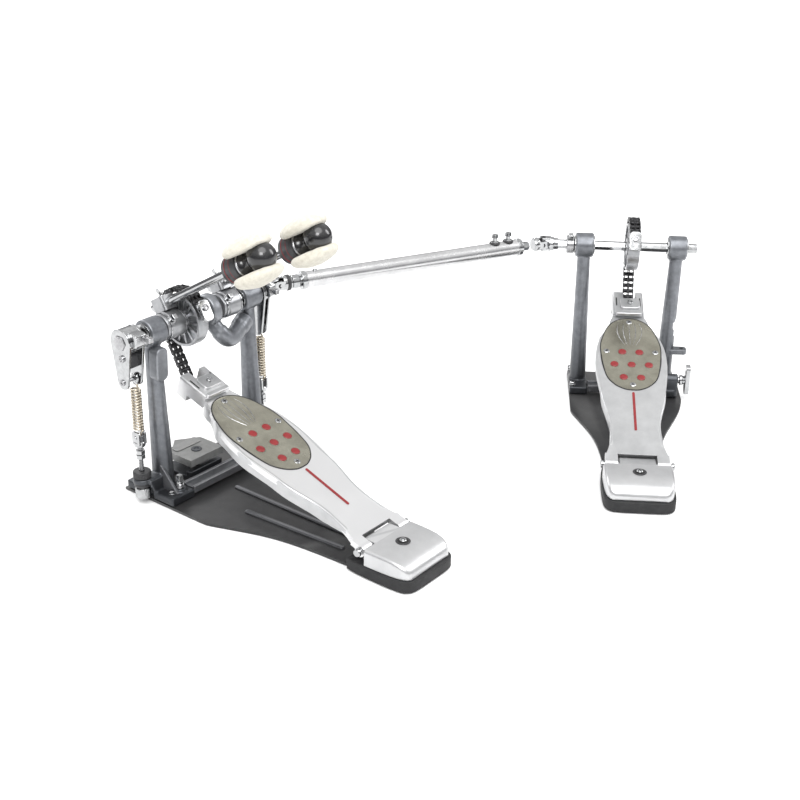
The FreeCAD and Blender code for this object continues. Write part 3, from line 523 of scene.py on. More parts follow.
def heel(prefix, pedal):
    """The heel plate and its screw in a round recess with a floor of painted shade, the rubber pad
    and the hinge pin.
    """
    body = prefix + "_frame"
    rings = []
    for back, wide, top in ((8, 41, 33), (20, 41, 33), (34, 40.6, 32.8), (44, 40, 32),
                            (52, 39, 30.2), (58, 37.4, 27.6), (62, 35, 24), (64.5, 31.5, 19.5)):
        side = [(wide, 14), (wide, top - 4), (wide - 1.2, top - 1.3), (wide - 4, top)]
        around = side + [(-x, z) for x, z in side[::-1]]
        rings.append([Vector((x, HINGE_Y - back, z)) for x, z in around])
    plate = Piece().skin(rings)
    plate.done(prefix + "_heel_form", pedal, body, BOARD_METAL, "board_aluminium",
               [prefix + "_heel_plate"], 0.6, 3, 50)
    right = curve([Vector(p) for p in ((40, 17, 0), (42, 0, 0), (42.6, -30, 0), (41.8, -52, 0),
                                       (39, -62, 0), (32, -67.5, 0), (20, -69, 0))], 6)
    edge = [(p.x, p.y) for p in right] + [(-p.x, p.y) for p in right[::-1]]
    rubber = Piece().slab(edge, (0, HINGE_Y, 7.1), X, Y, 13.4)
    rubber.done(prefix + "_heel_pad_form", pedal, body, RUBBER, "black_rubber",
                [prefix + "_heel_pad"], 1.6, 3)
    tongue = Piece().slab(rounded(43, 19, 1.6), (0, HINGE_Y - 1.5, HINGE_Z + 3.0), X, Y, 5.2)
    tongue.done(prefix + "_heel_tongue", pedal, body, BOARD_METAL, "board_aluminium", bevel=1.0,
                segments=3)
    at = (0, HINGE_Y - 28, HINGE_Z + 6)
    well = Piece().turned([(0.05, 8.2), (0.6, 7.8), (0.65, 6.6), (0.15, 6.0), (0.05, 6.0)], at, Z,
                          48, hole=True)
    well.done(prefix + "_heel_well", pedal, body, SATIN_BLACK, "black_rubber", bevel=0)
    # The recess floor is a dark disc of painted shade.
    floor = Piece().turned([(-0.2, 6.5), (0.25, 6.5)], at, Z, 40)
    floor.done(prefix + "_heel_well_floor_shade", pedal, body, SEAM_BLACK_AND_HOLE_SHADE, "black_rubber", bevel=0)
    head = Piece().turned([(0, 3.9), (1.6, 3.9), (2.1, 3.4), (2.1, 2.0), (1.0, 1.8)], at, Z, 30)
    head.done(prefix + "_heel_screw", pedal, body, CHROME, "chrome", bevel=0)
    pin = Piece()
    for side in (-1, 1):
        pin.turned([(0, 4.6), (2.4, 4.6), (3.3, 3.8), (3.6, 2.0)], (side * 40.4, HINGE_Y, HINGE_Z),
                   X * side, 30)
    pin.turned([(-41, 3.0), (41, 3.0)], (0, HINGE_Y, HINGE_Z), X, 24)
    pin.done(prefix + "_hinge_rod", pedal, body, CHROME, "chrome", [prefix + "_hinge_pin"], 0.2)


def foot_bolts(prefix, pedal, places):
    """Small bolts and washers that hold the feet to the plate."""
    bolts = Piece()
    for x, y in places:
        bolts.turned([(0, 4.8), (1.2, 4.8)], (x, y, 14), Z, 30)
        bolts.turned([(1.1, 3.6), (3.4, 3.6), (4.2, 2.8)], (x, y, 14), Z, 6)
    bolts.done(prefix + "_foot_bolts", pedal, prefix + "_frame", CHROME, "chrome", bevel=0.3)


def narrow(item, pedal):
    """Draw the left foot's outer edge in, under the spring's adjuster."""
    rest, foot_top = pedal.inverted(), 16
    for point in item.data.vertices:
        at = rest @ point.co
        if at.x < FOOT_EDGE and at.z < foot_top:
            point.co = pedal @ Vector((FOOT_EDGE, at.y, at.z))


def ground(prefix, pedal):
    """Floor plate with its pressed ribs, crossbar, posts and the bearings' visible rings."""
    plate = soften(prefix + "_base_plate", PLATE, 1.2)
    narrow(plate, pedal)
    for point in plate.data.vertices:
        if point.co.z > (PLATE_TOP + 0.2) * MM:
            point.co.z = (PLATE_TOP - 0.1) * MM
    ribs = Piece()
    for start, end in (((-22.5, -110), (-14, -250)), ((12, -60), (11, -250))):
        run = Vector((*end, 0)) - Vector((*start, 0))
        middle = Vector(((start[0] + end[0]) / 2, (start[1] + end[1]) / 2, 3.4))
        ribs.slab(rounded(run.length, 7, 3.4), middle, run, Z.cross(run), 3.4)
    # The ribs and the crossbar take the cast grey in painted shade.
    ribs.done(prefix + "_plate_ribs", pedal, prefix + "_frame", SHADED_CAST, "black_steel", bevel=1.5,
              segments=4)
    soften(prefix + "_crossbar", SHADED_CAST, 0.9)
    for side in ("left", "right"):
        narrow(cast(f"{prefix}_{side}_post", CAST), pedal)
    paint(prefix + "_bearings", STEEL)


def lobes():
    """Rounded boss on the player's side of the primary pedal's left post, and webs on its feet."""
    made = Piece()
    made.slab(rounded(17, 40, 7), (-50.5, -11, 168), X, Vector((0, -0.05, 1)), 14)
    made.done("primary_post_boss", FIRST, "primary_frame", CAST, "cast_grey", bevel=2.2,
              segments=4)
    gussets = Piece()
    for x in (-56, 110):
        gussets.slab([(-14, 0), (20, 0), (18, 3), (-6, 30), (-14, 31)], (x, -17, 13), -Y, Z, 4)
    # The webs take the cast grey in painted shade.
    gussets.done("primary_foot_gussets", FIRST, "primary_frame", SHADED_CAST, "cast_grey", bevel=1.0,
                 segments=3)


def ear():
    """Drilled lug on the second pedal's right post, in place of the CAD's higher one; its hole is
    a flat dark disc of painted shade.
    """
    for point in bpy.data.objects["slave_right_post_form"].data.vertices:
        at = SECOND.inverted() @ point.co
        if at.x > 68 and at.z > 80 and at.z < 104:
            point.co = SECOND @ Vector((SLAVE_POST, at.y, at.z))
    lug = Piece().slab(rounded(26, 15, 5), (73, -8, 60), X, Y, 7)
    lug.done("slave_post_ear", SECOND, "slave_frame", CAST, "cast_grey", bevel=1.2, segments=3)
    # The hole is a flat dark disc of painted shade.
    hole = Piece().turned([(0, 2.6), (0.3, 2.6)], (79, -8, 63.4), Z, 24)
    hole.done("slave_post_ear_hole_shade", SECOND, "slave_frame", SEAM_BLACK_AND_HOLE_SHADE, "black_steel", bevel=0)


def centre_arm():
    """Disc round the first axle's inner end, on a thick arm that sweeps down and out to a post."""
    arm = Piece()
    path = [Vector(p) for p in ((38, -4, 191), (42, -13, 179), (50, -17, 169), (62, -15, 167),
                                (78, -9, 171), (92, -4, 175))]
    arm.bent(curve(path, 7), [9.0] * 7 + [10.2] * 22 + [11.4] * 7, 28)
    arm.turned([(-6.6, 16.8), (-5.4, 18.8), (-4.0, 19.4), (4.0, 19.4), (5.4, 18.8), (6.6, 16.8),
                (6.6, 9.4), (-6.6, 9.4)], (38, 0, AXLE), X, 64, hole=True)
    arm.done("centre_arm_form", FIRST, "primary_frame", CAST, "cast_grey", ["centre_bearing_arm"],
             0)


def housing_rings(prefix, pedal, places):
    """Bright bearing covers and a dark seal on both sides of each housing."""
    covers, seals = Piece(), Piece()
    for x, long in places:
        for side in (-1, 1):
            face = (x + side * long / 2, 0, AXLE)
            covers.turned([(-0.4, 12.4), (0.9, 12.4), (1.5, 11.4), (1.5, 8.6), (0.3, 7.8),
                           (-0.4, 7.8)], face, X * side, 48, hole=True)
            seals.turned([(-0.2, 8.4), (0.8, 8.2), (0.8, 6.6), (-0.2, 6.6)], face, X * side, 40,
                         hole=True)
    covers.done(prefix + "_bearing_covers", pedal, prefix + "_frame", CHROME, "chrome", bevel=0.15)
    seals.done(prefix + "_bearing_seals", pedal, prefix + "_frame", SATIN_BLACK, "black_rubber",
               bevel=0)


# ---------------------------------------------------------------- axle, cam and chain


def on_cam(angle, radius):
    """A point round the axle, counted from +Y up towards +Z."""
    a = math.radians(angle)
    return Vector((CAM_X, radius * math.cos(a), AXLE + radius * math.sin(a)))


def link(length):
    """Outline of a chain side plate between two pins."""
    end = circle(3.1, 8, -62, 62, (length / 2, 0))
    back = circle(3.1, 8, 118, 242, (-length / 2, 0))
    return end + [(0, 2.3)] + back + [(0, -2.3)]


def chain_run(name, pedal, body, points, joints, replaces):
    """Double roller chain through points: rows of plates, with rollers and pins at joints."""
    plates, rollers, pins = Piece(), Piece(), Piece()
    for n, (a, b) in enumerate(zip(points, points[1:])):
        run = b - a
        up = X.cross(run.normalized())
        for row in (-1, 0, 1):
            spread = 0.75 if n % 2 else -0.45
            for half in ((-1, 1) if row == 0 else (row,)):
                offset = row * 5.9 + half * (spread if row else 0.55 + 0.5 * (n % 2))
                plates.slab(link(run.length), (a + b) / 2 + X * offset, run, up, 0.95)
    for p in joints:
        for side in (-1, 1):
            rollers.turned([(1.4, 2.2), (1.7, 2.6), (4.5, 2.6), (4.8, 2.2)], p, X * side, 16)
            pins.turned([(0, 1.15), (7.2, 1.15), (7.5, 0.8)], p, X * side, 12)
    plates.done(name + "_plates", pedal, body, CHAIN, "chain_black", [replaces], 0.14, 1)
    rollers.done(name + "_rollers", pedal, body, CHAIN, "chain_black", bevel=0)
    pins.done(name + "_pins", pedal, body, DULL, "chrome", bevel=0)


def chain(prefix, pedal):
    """The chain from its clamp over the cam and down to the footboard's toe."""
    leave, middle, top, clamp = -29.14, 5.49, 40.12, 157.0
    axle = prefix + "_axle_unit"
    wrapped = [on_cam(top + (clamp - top) * n / 9, CHAIN_R) for n in range(10)]
    chain_run(prefix + "_chain_top", pedal, axle, wrapped, wrapped[1:], prefix + "_chain_wrap")
    folds = [on_cam(a, CHAIN_R) for a in (top, middle, leave)]
    for n in (0, 1):
        points = [folds[n].lerp(folds[n + 1], k / 3) for k in range(4)]
        chain_run(f"{prefix}_chain_fold_{n + 1}", pedal, f"{prefix}_fold_{n + 1}", points,
                  points[:-1], f"{prefix}_chain_link_{n + 1}")
    toe = BOARD @ Vector((CAM_X, 300, -12))
    points = [folds[2].lerp(toe, k / 10) for k in range(10)]
    chain_run(prefix + "_chain_drop", pedal, prefix + "_strand", points, points,
              prefix + "_chain_strand")

    hold = Piece()
    held = 152
    radial = (on_cam(held, 1) - on_cam(held, 0)).normalized()
    along = X.cross(radial)
    hold.slab(rounded(15.5, 25, 5), on_cam(held, 38.4), X, along, 6.0)
    hold.done(prefix + "_chain_clamp", pedal, axle, CHROME, "chrome", bevel=1.3, segments=4)
    bolt = Piece()
    screw(bolt, on_cam(held - 4, 40.8), radial, 4.0, 3.4)
    bolt.done(prefix + "_chain_clamp_screw", pedal, axle, STEEL, "chrome", bevel=0.3)
    # The clamp's hole is a flat dark disc of painted shade.
    hole = Piece().turned([(0, 2.4), (0.35, 2.4)], on_cam(held + 12, 41.4), radial, 24)
    hole.done(prefix + "_chain_clamp_hole_shade", pedal, axle, SEAM_BLACK_AND_HOLE_SHADE, "black_steel", bevel=0)


def cam(prefix, pedal):
    """Chain cam: rim, thin web with a fan of ribs, and nave."""
    made = Piece()
    centre = (CAM_X, 0, AXLE)
    made.turned([(-7.6, 30.6), (-6.9, 31.1), (6.9, 31.1), (7.6, 30.6), (7.6, 27.6), (-7.6, 27.6)],
                centre, X, 72, hole=True)
    made.turned([(-1.8, 28.5), (1.8, 28.5)], centre, X, 72)
    made.turned([(-7.8, 10.8), (-7.0, 11.6), (7.0, 11.6), (7.8, 10.8)], centre, X, 48)
    for n in range(14):
        a = 360 * n / 14
        middle = on_cam(a, 19.6)
        out = (middle - Vector(centre)).normalized()
        made.slab([(-9.2, -0.9), (9.2, -1.4), (9.2, 1.4), (-9.2, 0.9)], middle, out, X.cross(out),
                  11.0)
    made.done(prefix + "_cam_wheel", pedal, prefix + "_axle_unit", LIGHT_CAST, "cast_grey",
              [prefix + "_cam"], 0.5)


def yoke(piece, centre, out, ears, collar=10.0):
    """A fork of a universal joint; out points from the joint's centre to its shaft."""
    across = ears.cross(out)
    for side in (-1, 1):
        shape = [(-5.0, -10.5), (5.0, -10.5)] + circle(5.4, 12, 0, 180, (0, -0.4))
        piece.slab(shape, centre + ears * side * 7.5, across, -out, 2.8)
    piece.turned([(8.6, 8.6), (9.4, 9.2), (13.4, 9.2), (14.4, 8.2), (collar + 10, 7.6)], centre,
                 out, 40)


def joint_cross(piece, caps, centre, first, second):
    """The four-armed cross between two forks and the black screws in its ends."""
    for axis in (first, second):
        piece.turned([(-6.2, 2.6), (-3, 3.9), (3, 3.9), (6.2, 2.6)], centre, axis, 24)
        for side in (-1, 1):
            caps.turned([(5.6, 3.2), (9.4, 3.2), (9.9, 2.5), (9.9, 1.4), (9.3, 1.2)], centre,
                        axis * side, 24)


def axle(name, pedal, body, start, end, joint, replaces):
    """Hexagonal axle with rounded ends, and its fork where it has one."""
    bar = Piece()
    bar.turned([(start, 5.6), (start + 0.7, 6.3), (end - 0.7, 6.3), (end, 5.6)], (0, 0, AXLE), X,
               6)
    if joint is not None:
        centre = Vector((joint, 0, AXLE))
        out = X if joint < 0 else -X
        yoke(bar, centre, out, Z)
        joint_caps = Piece()
        joint_cross(bar, joint_caps, centre, Z, Y)
        joint_caps.done(name + "_joint_screws", pedal, body, SATIN_BLACK, "black_steel", bevel=0.2)
    bar.done(name + "_bar", pedal, body, CHROME, "chrome", replaces, 0.3)


def collar(name, pedal, body, x, half, radius):
    """Collar on an axle with a key screw."""
    ring, bolt = Piece(), Piece()
    ring.turned([(-half, radius - 0.8), (-half + 0.8, radius), (half - 0.8, radius),
                 (half, radius - 0.8)], (x, 0, AXLE), X, 44)
    key_bolt(bolt, Vector((x, 0, AXLE)) + Vector((0, -0.5, 0.86)) * (radius - 0.6),
             (0, -0.5, 0.86), 8)
    ring.done(name, pedal, body, STEEL, "chrome", bevel=0.4)
    bolt.done(name + "_bolts", pedal, body, CHROME, "chrome", bevel=0.3)


# ---------------------------------------------------------------- beaters


LEAN = math.radians(60.0)
ALONG = Vector((0, -math.sin(LEAN), math.cos(LEAN)))
STRIKE = Vector((0, ALONG.z, -ALONG.y))
REACH, RISE = 162.5, 24.0


def beater(prefix, hub_x, rod_x):
    """Hub, rod and head of one beater: black turned body along the rod and two felt domes."""
    body = prefix + "_beater"
    unit = prefix + "_axle_unit"
    foot = Vector((rod_x, 0, AXLE)) + STRIKE * RISE
    centre = foot + ALONG * REACH
    rod = Piece().turned([(-22, 3.9), (-21, 4.75), (REACH - 34, 4.75)], foot, ALONG, 32)
    rod.done(prefix + "_rod_bar", FIRST, body, CHROME, "chrome", [prefix + "_beater_rod"], 0)

    barrel = Piece()
    barrel.turned([(-38, 11.0), (-37.2, 12.8), (-36, 14.9), (-34.4, 16.2), (-14.8, 16.6),
                   (-13.4, 16.2), (-12.6, 14.8)], centre, ALONG, 64)
    barrel.done(prefix + "_head_barrel", FIRST, body, SATIN_BLACK, "beater_black",
                [prefix + "_beater_body"], 0)
    lines = Piece()
    for at in (-29.4, -21.4):
        lines.turned([(at - 0.5, 16.2), (at - 0.2, 16.65), (at + 0.2, 16.65), (at + 0.5, 16.2)],
                     centre, ALONG, 64)
    lines.done(prefix + "_head_lines", FIRST, body, RED, "red_grip", bevel=0)
    neck = Piece()
    neck.turned([(-14, 13.0), (-11.4, 13.0)], centre, ALONG, 48)
    neck.turned([(-11.6, 14.6), (-11.0, 15.6), (-9.2, 15.6), (-8.4, 14.8)], centre, ALONG, 56)
    neck.done(prefix + "_head_neck", FIRST, body, STEEL, "beater_black", bevel=0)
    knob = Piece()
    ball = [(14.8 + 16.2 * math.cos(a), 16.2 * math.sin(a))
            for a in (math.radians(143 - 138 * n / 26) for n in range(27))]
    knob.turned([(-9.4, 15.0), (-8.2, 15.5), (-7.0, 15.2), (-4.6, 12.2), (-2.4, 10.0), (0.2, 9.3)]
                + ball, centre, ALONG, 64)
    knob.done(prefix + "_head_ball", FIRST, body, BLACK, "beater_black", bevel=0)

    felt = Piece()
    dome = [(10.8, 12.0), (11.2, 22.8), (12.2, 25.8), (14.0, 27.6), (16.4, 28.2), (19.0, 27.4),
            (21.7, 25.0), (24.2, 20.8), (26.1, 15.0), (27.4, 9.0), (28.0, 4.2), (28.2, 0.8)]
    for side in (-1, 1):
        felt.turned(dome, centre, STRIKE * side, 72)
    item = felt.done(prefix + "_head_felt", FIRST, body, FELT, "beater_felt",
                     [prefix + "_beater_felt"], 0)
    item.modifiers.new("round", "SUBSURF").render_levels = 1
    for point in item.data.vertices:
        shift = noise.noise(point.co * 420) * 0.0006 + noise.noise(point.co * 130) * 0.0005
        point.co += point.normal * shift

    hub = Piece()
    hub.turned([(-13.4, 13.6), (-12.6, 15.0), (-5.4, 15.0), (-4.8, 15.9), (12.6, 15.9),
                (13.4, 14.8)], (hub_x, 0, AXLE), X, 56)
    hub.slab(rounded(20, 22, 4), foot - ALONG * 1.5, X, ALONG, 17)
    hub.done(prefix + "_hub_form", FIRST, unit, LIGHT_CAST, "cast_grey", [prefix + "_beater_hub"],
             1.1, 3)
    ring = Piece()
    for x in (-9.0, 13.6):
        ring.turned([(-0.9, 15.4), (-0.5, 16.2), (0.5, 16.2), (0.9, 15.4)], (hub_x + x, 0, AXLE),
                    X, 56)
    ring.done(prefix + "_hub_rings", FIRST, unit, CHROME, "chrome", bevel=0)
    bolts = Piece()
    key_bolt(bolts, foot + STRIKE * 8.2, STRIKE, 10)
    key_bolt(bolts, Vector((hub_x - 5, 0, AXLE)) + Vector((0, -0.72, 0.69)) * 15, (0, -0.72, 0.69),
             9)
    bolts.done(prefix + "_hub_bolts", FIRST, unit, CHROME, "chrome", bevel=0.3)


# ---------------------------------------------------------------- rockers and springs


def rocker(side, x, unit, sign, reach):
    """Two teardrop cheeks on the axle with a gap between them, a dark slab of painted shade in the
    gap, a split lug and their screws.
    """
    arm = Piece()
    axis_at = Vector((x, 0, AXLE))
    spread = (3.9 + reach) / 2
    middle = axis_at + X * sign * (reach - 3.9) / 2
    for k in (-1, 1):
        arm.slab(capsule(47, 15.6, 8.6, 18), middle + X * k * spread, Y, Z, 3.2)
    arm.turned([(-spread - 1, 14.2), (-spread, 15.2), (spread, 15.2), (spread + 1, 14.2)], middle,
               X, 48)
    arm.slab(rounded(16, 15, 3), middle + Vector((0, -15, 5)), Y, Z, spread * 1.5)
    arm.done(side + "_rocker_cheeks", FIRST, unit, CHROME, "chrome", [side + "_rocker_arm"], 0.9,
             3)
    # Painted shade: a satin black slab fills the gap between the cheeks below the axle.
    dark = Piece()
    dark.slab(rounded(11, 20, 5), middle + Vector((0, 1, -24)), Y, Z, spread * 2 + 0.4)
    dark.done(side + "_rocker_gap_shade", FIRST, unit, SATIN_BLACK, "black_steel", bevel=0.4)
    bolts = Piece()
    key_bolt(bolts, axis_at + Vector((0, -22.4, 6)), -Y, 10)
    face = spread + 1.3
    screw(bolts, middle + Vector((sign * face, -2, -18)), X * sign, 4.0, 2.8)
    screw(bolts, middle + Vector((sign * face, 0, -47)), X * sign, 3.6, 2.2)
    bolts.turned([(-face, 2.2), (face, 2.2)], middle - Z * 47, X, 20)
    bolts.turned([(face - 0.4, 9.0), (face + 1.2, 9.0), (face + 2.2, 8.2), (face + 2.4, 5.0)],
                 middle, X * sign, 6)
    bolts.done(side + "_rocker_bolts", FIRST, unit, STEEL, "chrome", bevel=0.35)


def spring(side, x):
    """Tension spring with hooked ends, the link above it and the adjuster below."""
    low, high, turns, mean, wire = 92.0, 144.0, 15, 5.1, 1.2
    steps = turns * 20
    path = [Vector((x, 0.2, low - 8)), Vector((x, -2.4, low - 6.2)), Vector((x, -3.0, low - 3.4))]
    for n in range(steps + 1):
        a = math.tau * n / 20 - math.pi / 2
        z = low + (high - low) * n / steps
        path.append(Vector((x + mean * math.cos(a), mean * math.sin(a), z)))
    path += [Vector((x, -3.4, high + 3.2)), Vector((x, -2.2, high + 5.8)),
             Vector((x, 0.4, high + 7.2))]
    coil = Piece().bent(path, wire, 10)
    item = coil.done(side + "_coil", FIRST, None, SPRING, "spring_steel", [side + "_spring"], 0,
                     whole=True)
    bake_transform(item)

    hook = Piece()
    hook.bent([Vector((x, -3.2 * math.sin(a), high + 8.2 + 3.2 * math.cos(a)))
               for a in (math.tau * n / 24 for n in range(24))], 1.3, 10, True)
    hook.bent([Vector((x, 0, high + 8)), Vector((x, 0, 156))], 2.2, 14)
    hook.bent([Vector((x, 4.6 * math.sin(a), 156 + 4.6 * math.cos(a)))
               for a in (math.tau * n / 28 for n in range(28))], 1.5, 12, True)
    hook.done(side + "_hook_link", FIRST, side + "_hook", CHROME, "chrome",
              [side + "_spring_hook"], 0)

    knob = Piece().turned([(0.2, 3.2), (0.2, 9.4), (1.0, 10.4), (8.0, 10.4), (8.8, 9.6),
                           (9.0, 3.2)], (x, 0, 32), Z, 72, knurl=0.05, hole=True)
    knob.done(side + "_knob_form", FIRST, side + "_knob", KNOB, "knob_black",
              [side + "_tension_knob"], 0.15)


def adjusters():
    """Threaded rods, clevis blocks, lock nuts and lower nuts that the springs hang from."""
    bright, black = Piece(), Piece()
    for _, x in SPRINGS:
        thread = [(z, 2.95 if n % 2 else 2.45) for n, z in enumerate(range(7, 78))]
        bright.turned(thread, (x, 0, 0), Z, 20)
        for k in (-1, 1):
            bright.slab(rounded(12, 17, 3), (x + k * 4.4, 0, 82.5), Y, Z, 2.4)
        bright.turned([(72.0, 5.8), (73.2, 6.6), (77.4, 6.6), (78.6, 5.6)], (x, 0, 0), Z, 32)
        bright.turned([(-6.6, 2.0), (6.6, 2.0)], (x, 0, 84), X, 18)
        for nut in (62.6, 56.8):
            bright.turned([(nut, 5.6), (nut + 4.8, 5.6)], (x, 0, 0), Z, 6)
        bright.turned([(7, 8.0), (8, 9.0), (18.6, 9.0), (19.6, 8.2), (19.8, 4)], (x, 0, 0), Z, 60,
                      knurl=0.045)
        black.turned([(21.6, 9.0), (22.0, 9.5), (25.4, 9.5), (25.8, 9.0)], (x, 0, 0), Z, 44)
    bright.done("adjuster_rods", FIRST, "primary_frame", CHROME, "chrome", ["spring_adjusters"],
                0.25)
    black.done("adjuster_seats", FIRST, "primary_frame", SATIN_BLACK, "knob_black", bevel=0.2)


# ---------------------------------------------------------------- drive shaft, clamp and feet


def shaft():
    """Telescopic drive shaft: bright tube with its clamp bolts, inner rod, forks and collars."""
    flat = Matrix.Scale(1 / MM, 4) @ SECOND
    near = Vector((NEAR_JOINT, 0, AXLE))
    far = flat @ Vector((FAR_JOINT, 0, AXLE))
    along = (far - near).normalized()
    long = (far - near).length
    ears = Z.cross(along)
    up = along.cross(ears)
    if up.z < 0:
        up = -up

    outer = Piece()
    outer.turned([(36, 9.4), (36.8, 10.4), (341.2, 10.4), (342, 9.6), (342, 6.6), (38, 6.6)], near,
                 along, 56, hole=True)
    outer.done("shaft_tube_form", FIRST, "outer_shaft", TUBE, "tube_silver", ["shaft_tube"], 0.2)
    ends = Piece()
    yoke(ends, near, along, ears, 12)
    ends.turned([(20, 7.4), (21, 8.6), (29, 8.6), (30, 7.4), (38, 7.0)], near, along, 40)
    ends.turned([(340.5, 10.9), (341.2, 11.5), (346.4, 11.5), (347.2, 10.8), (347.2, 7)], near,
                along, 48)
    ends.turned([(32.5, 10.8), (33.2, 11.4), (38.8, 11.4), (39.5, 10.8)], near, along, 48)
    ends.done("shaft_tube_ends", FIRST, "outer_shaft", CHROME, "chrome", bevel=0.3)
    bolts, pads = Piece(), Piece()
    for at in (308, 328):
        foot = near + along * at + up * 9.9
        pads.turned([(-0.4, 7.0), (1.4, 7.0), (2.0, 6.2)], foot, up, 32)
        key_bolt(bolts, foot + up * 1.6, up, 11)
    small = near + along * 52 + up * 9.9
    screw(bolts, small, up, 2.8, 2.4)
    bolts.done("shaft_key_bolts", FIRST, "outer_shaft", CHROME, "chrome", bevel=0.3)
    pads.done("shaft_bolt_pads", FIRST, "outer_shaft", SATIN_BLACK, "black_rubber", bevel=0.2)

    inner = Piece()
    inner.turned([(200, 5.2), (201, 5.9), (long - 24, 5.9)], near, along, 6)
    yoke(inner, far, -along, ears, 6)
    inner.done("shaft_rod_form", FIRST, "inner_shaft", CHROME, "chrome", ["shaft_rod"], 0.3)
    seals = Piece().turned([(13.6, 9.5), (14.0, 9.9), (17.4, 9.9), (17.8, 9.5)], near, along, 40)
    seals.done("shaft_seal", FIRST, "outer_shaft", SATIN_BLACK, "black_rubber", bevel=0)


def spurs():
    """Square-headed floor spikes with their small springs."""
    made, coils = Piece(), Piece()
    for _, x, _ in HOUSINGS:
        y = -31.0
        made.turned([(3.6, 1.2), (6, 3.3), (24, 3.3)], (x, y, 0), Z, 24)
        made.turned([(24, 4.6), (26, 4.6)], (x, y, 0), Z, 28)
        made.turned([(26, 4.3), (33, 4.3), (34, 3.4)], (x, y, 0), Z, 4, turn=0.5)
        path = [Vector((x + 4.7 * math.cos(a), y + 4.7 * math.sin(a), 18.2 + 5.6 * a / (math.tau
                                                                                        * 4)))
                for a in (math.tau * n / 16 for n in range(65))]
        coils.bent(path, 0.6, 8)
    made.done("spur_spikes", FIRST, "primary_frame", CHROME, "chrome", ["spur_screws"], 0.3)
    coils.done("spur_coils", FIRST, "primary_frame", STEEL, "chrome", bevel=0)


def clamp():
    """Hoop clamp: rounded jaws and the screw between them."""
    soften("hoop_clamp_jaw", JAW, 2.0, 4)
    soften("hoop_clamp_base", CAST, 1.2)
    at = (CLAMP_X, 4, 32.2)
    bolt = Piece().turned([(-22.4, 3.0), (-0.6, 3.0), (-0.4, 6.6), (0.7, 6.6), (1.3, 6.0),
                           (1.3, 3.2), (0.2, 2.8)], at, Z, 40)
    bolt.done("hoop_clamp_bolt", FIRST, "clamp_screw", CAST, "cast_grey", ["hoop_clamp_screw"],
              0.15)
    pad = Piece().slab(rounded(40, 14, 3), (CLAMP_X, 22, 32.9), X, Y, 1.4)
    pad.done("hoop_clamp_panel", FIRST, "clamp_jaw", JAW, "cast_grey", bevel=0.6)


def wing():
    """L-shaped wing key on the second pedal's right foot."""
    at = Vector((75.2, -32, 27))
    made = Piece()
    made.turned([(0, 4.4), (2, 4.4), (2.2, 6.9), (5.8, 6.9), (6.4, 6.0), (12, 5.4)], at, X, 36)
    outline = [(-6, 20), (6, 20), (7.2, 9), (7.2, -9), (4.8, -19), (-4.8, -19), (-7.2, -9),
               (-7.2, 9)]
    made.slab([(p.x, p.y) for p in curve([Vector((a, b, 0)) for a, b in outline], 5, True)],
              at + X * 12.5, Y, Z, 6)
    made.done("wing_key_form", SECOND, "wing_key", CHROME, "chrome", ["slave_wing_key"], 1.2, 3)


def stage():
    """Plain pale floor."""
    mesh = bmesh.new()
    bmesh.ops.create_grid(mesh, x_segments=1, y_segments=1, size=6)
    data = bpy.data.meshes.new("floor")
    mesh.to_mesh(data)
    mesh.free()
    floor = bpy.data.objects.new("floor", data)
    bpy.context.scene.collection.objects.link(floor)
    floor.location.z = -0.001
    look = bpy.data.materials.new("floor")
    look.use_nodes = True
    shader = look.node_tree.nodes["Principled BSDF"]
    shader.inputs["Base Color"].default_value = (0.93, 0.93, 0.93, 1)
    shader.inputs["Roughness"].default_value = 0.9
    shader.inputs["Specular IOR Level"].default_value = 0.1
    data.materials.append(look)


def lamp(name, place, target, size, power):
    """A square soft light aimed at a point."""
    data = bpy.data.lights.new(name, "AREA")
    data.shape = "RECTANGLE"
    data.size, data.size_y = size
    data.energy = power
    item = bpy.data.objects.new(name, data)
    item.location = place
    item.rotation_mode = "QUATERNION"
    item.rotation_quaternion = (Vector(target) - Vector(place)).to_track_quat("-Z", "Y")
    bpy.context.scene.collection.objects.link(item)


def light():
    """Bright room with a darker band at the horizon, a wide soft sun and three soft boxes."""
    bpy.context.scene.view_settings.view_transform = "Standard"
    world = bpy.data.worlds.new("studio")
    world.use_nodes = True
    nodes, links = world.node_tree.nodes, world.node_tree.links
    place = nodes.new("ShaderNodeTexCoord")
    split = nodes.new("ShaderNodeSeparateXYZ")
    links.new(place.outputs["Generated"], split.inputs["Vector"])
    sky = ramp(nodes, [(0.0, (0.16, 0.16, 0.17)), (0.18, (0.30, 0.30, 0.31)), (0.55, (1, 1, 1))])
    links.new(split.outputs["Z"], sky.inputs["Fac"])
    links.new(sky.outputs["Color"], nodes["Background"].inputs["Color"])
    nodes["Background"].inputs["Strength"].default_value = 1.0
    bpy.context.scene.world = world
    middle = (0.25, -0.15, 0.1)
    lamp("key", (-1.3, -1.2, 1.7), middle, (0.9, 0.7), 20)
    lamp("side", (1.5, -1.3, 1.2), middle, (0.6, 1.0), 12)
    lamp("rim", (0.3, 1.7, 1.3), middle, (1.8, 0.5), 16)
    data = bpy.data.lights.new("sun", "SUN")
    data.energy = 1.9
    data.angle = math.radians(50)
    item = bpy.data.objects.new("sun", data)
    item.rotation_euler = (math.radians(18), math.radians(-14), 0)
    bpy.context.scene.collection.objects.link(item)


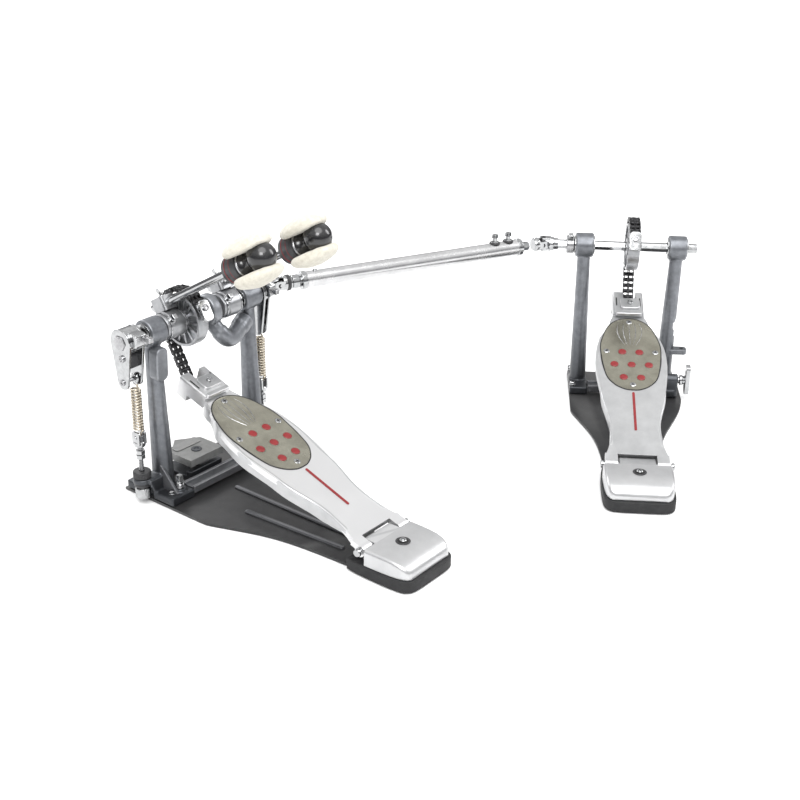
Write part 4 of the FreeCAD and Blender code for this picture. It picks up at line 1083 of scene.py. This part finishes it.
def camera():
    """The main view's camera."""
    az, el, roll = (math.radians(turn) for turn in (-51.971, 24.739, -0.765))
    target, distance = Vector((0.230234, -0.133345, 0.06)), 1.67876
    back = Vector((math.sin(az) * math.cos(el), -math.cos(az) * math.cos(el), math.sin(el)))
    right = Z.cross(back).normalized()
    up = back.cross(right)
    side = right * math.cos(roll) - up * math.sin(roll)
    top = right * math.sin(roll) + up * math.cos(roll)
    data = bpy.data.cameras.new("camera")
    data.lens = 60.637
    data.sensor_width = 36
    data.clip_end = 20
    item = bpy.data.objects.new("camera", data)
    bpy.context.scene.collection.objects.link(item)
    place = Matrix((side, top, back)).transposed().to_4x4()
    place.translation = target + back * distance
    item.matrix_world = place
    bpy.context.scene.camera = item


# ---------------------------------------------------------------- the whole object


for pedal_name, pedal_place in PEDALS:
    ground(pedal_name, pedal_place)
    heel(pedal_name, pedal_place)
    board(pedal_name, pedal_place)
    cam(pedal_name, pedal_place)
    chain(pedal_name, pedal_place)
centre_arm()
lobes()
ear()
housing_rings("primary", FIRST, [(x, long) for _, x, long in HOUSINGS] + [(38, 10)])
housing_rings("slave", SECOND, [(-SLAVE_POST, 24), (SLAVE_POST, 24)])
foot_bolts("primary", FIRST, [(-60, 20), (-60, -30), (118, 20), (118, -30)])
foot_bolts("slave", SECOND, [(-66, 20), (-66, -32), (66, 20)])

axle("first_axle", FIRST, "primary_axle_unit", -86, 43, None, ["primary_axle"])
axle("second_axle", FIRST, "second_axle_unit", 46, 138, NEAR_JOINT, ["second_axle"])
axle("slave_axle", SECOND, "slave_axle_unit", -102, 87, FAR_JOINT, ["slave_axle"])
collar("slave_collars", SECOND, "slave_axle_unit", -80, 5, 12)
for beater_args in BEATERS:
    beater(*beater_args)
rocker("left", SPRINGS[0][1], "primary_axle_unit", -1, 15.5)
rocker("right", SPRINGS[1][1], "second_axle_unit", 1, 3.9)
for side_name, side_x in SPRINGS:
    spring(side_name, side_x)
adjusters()
shaft()
spurs()
clamp()
wing()
stage()
light()
camera()
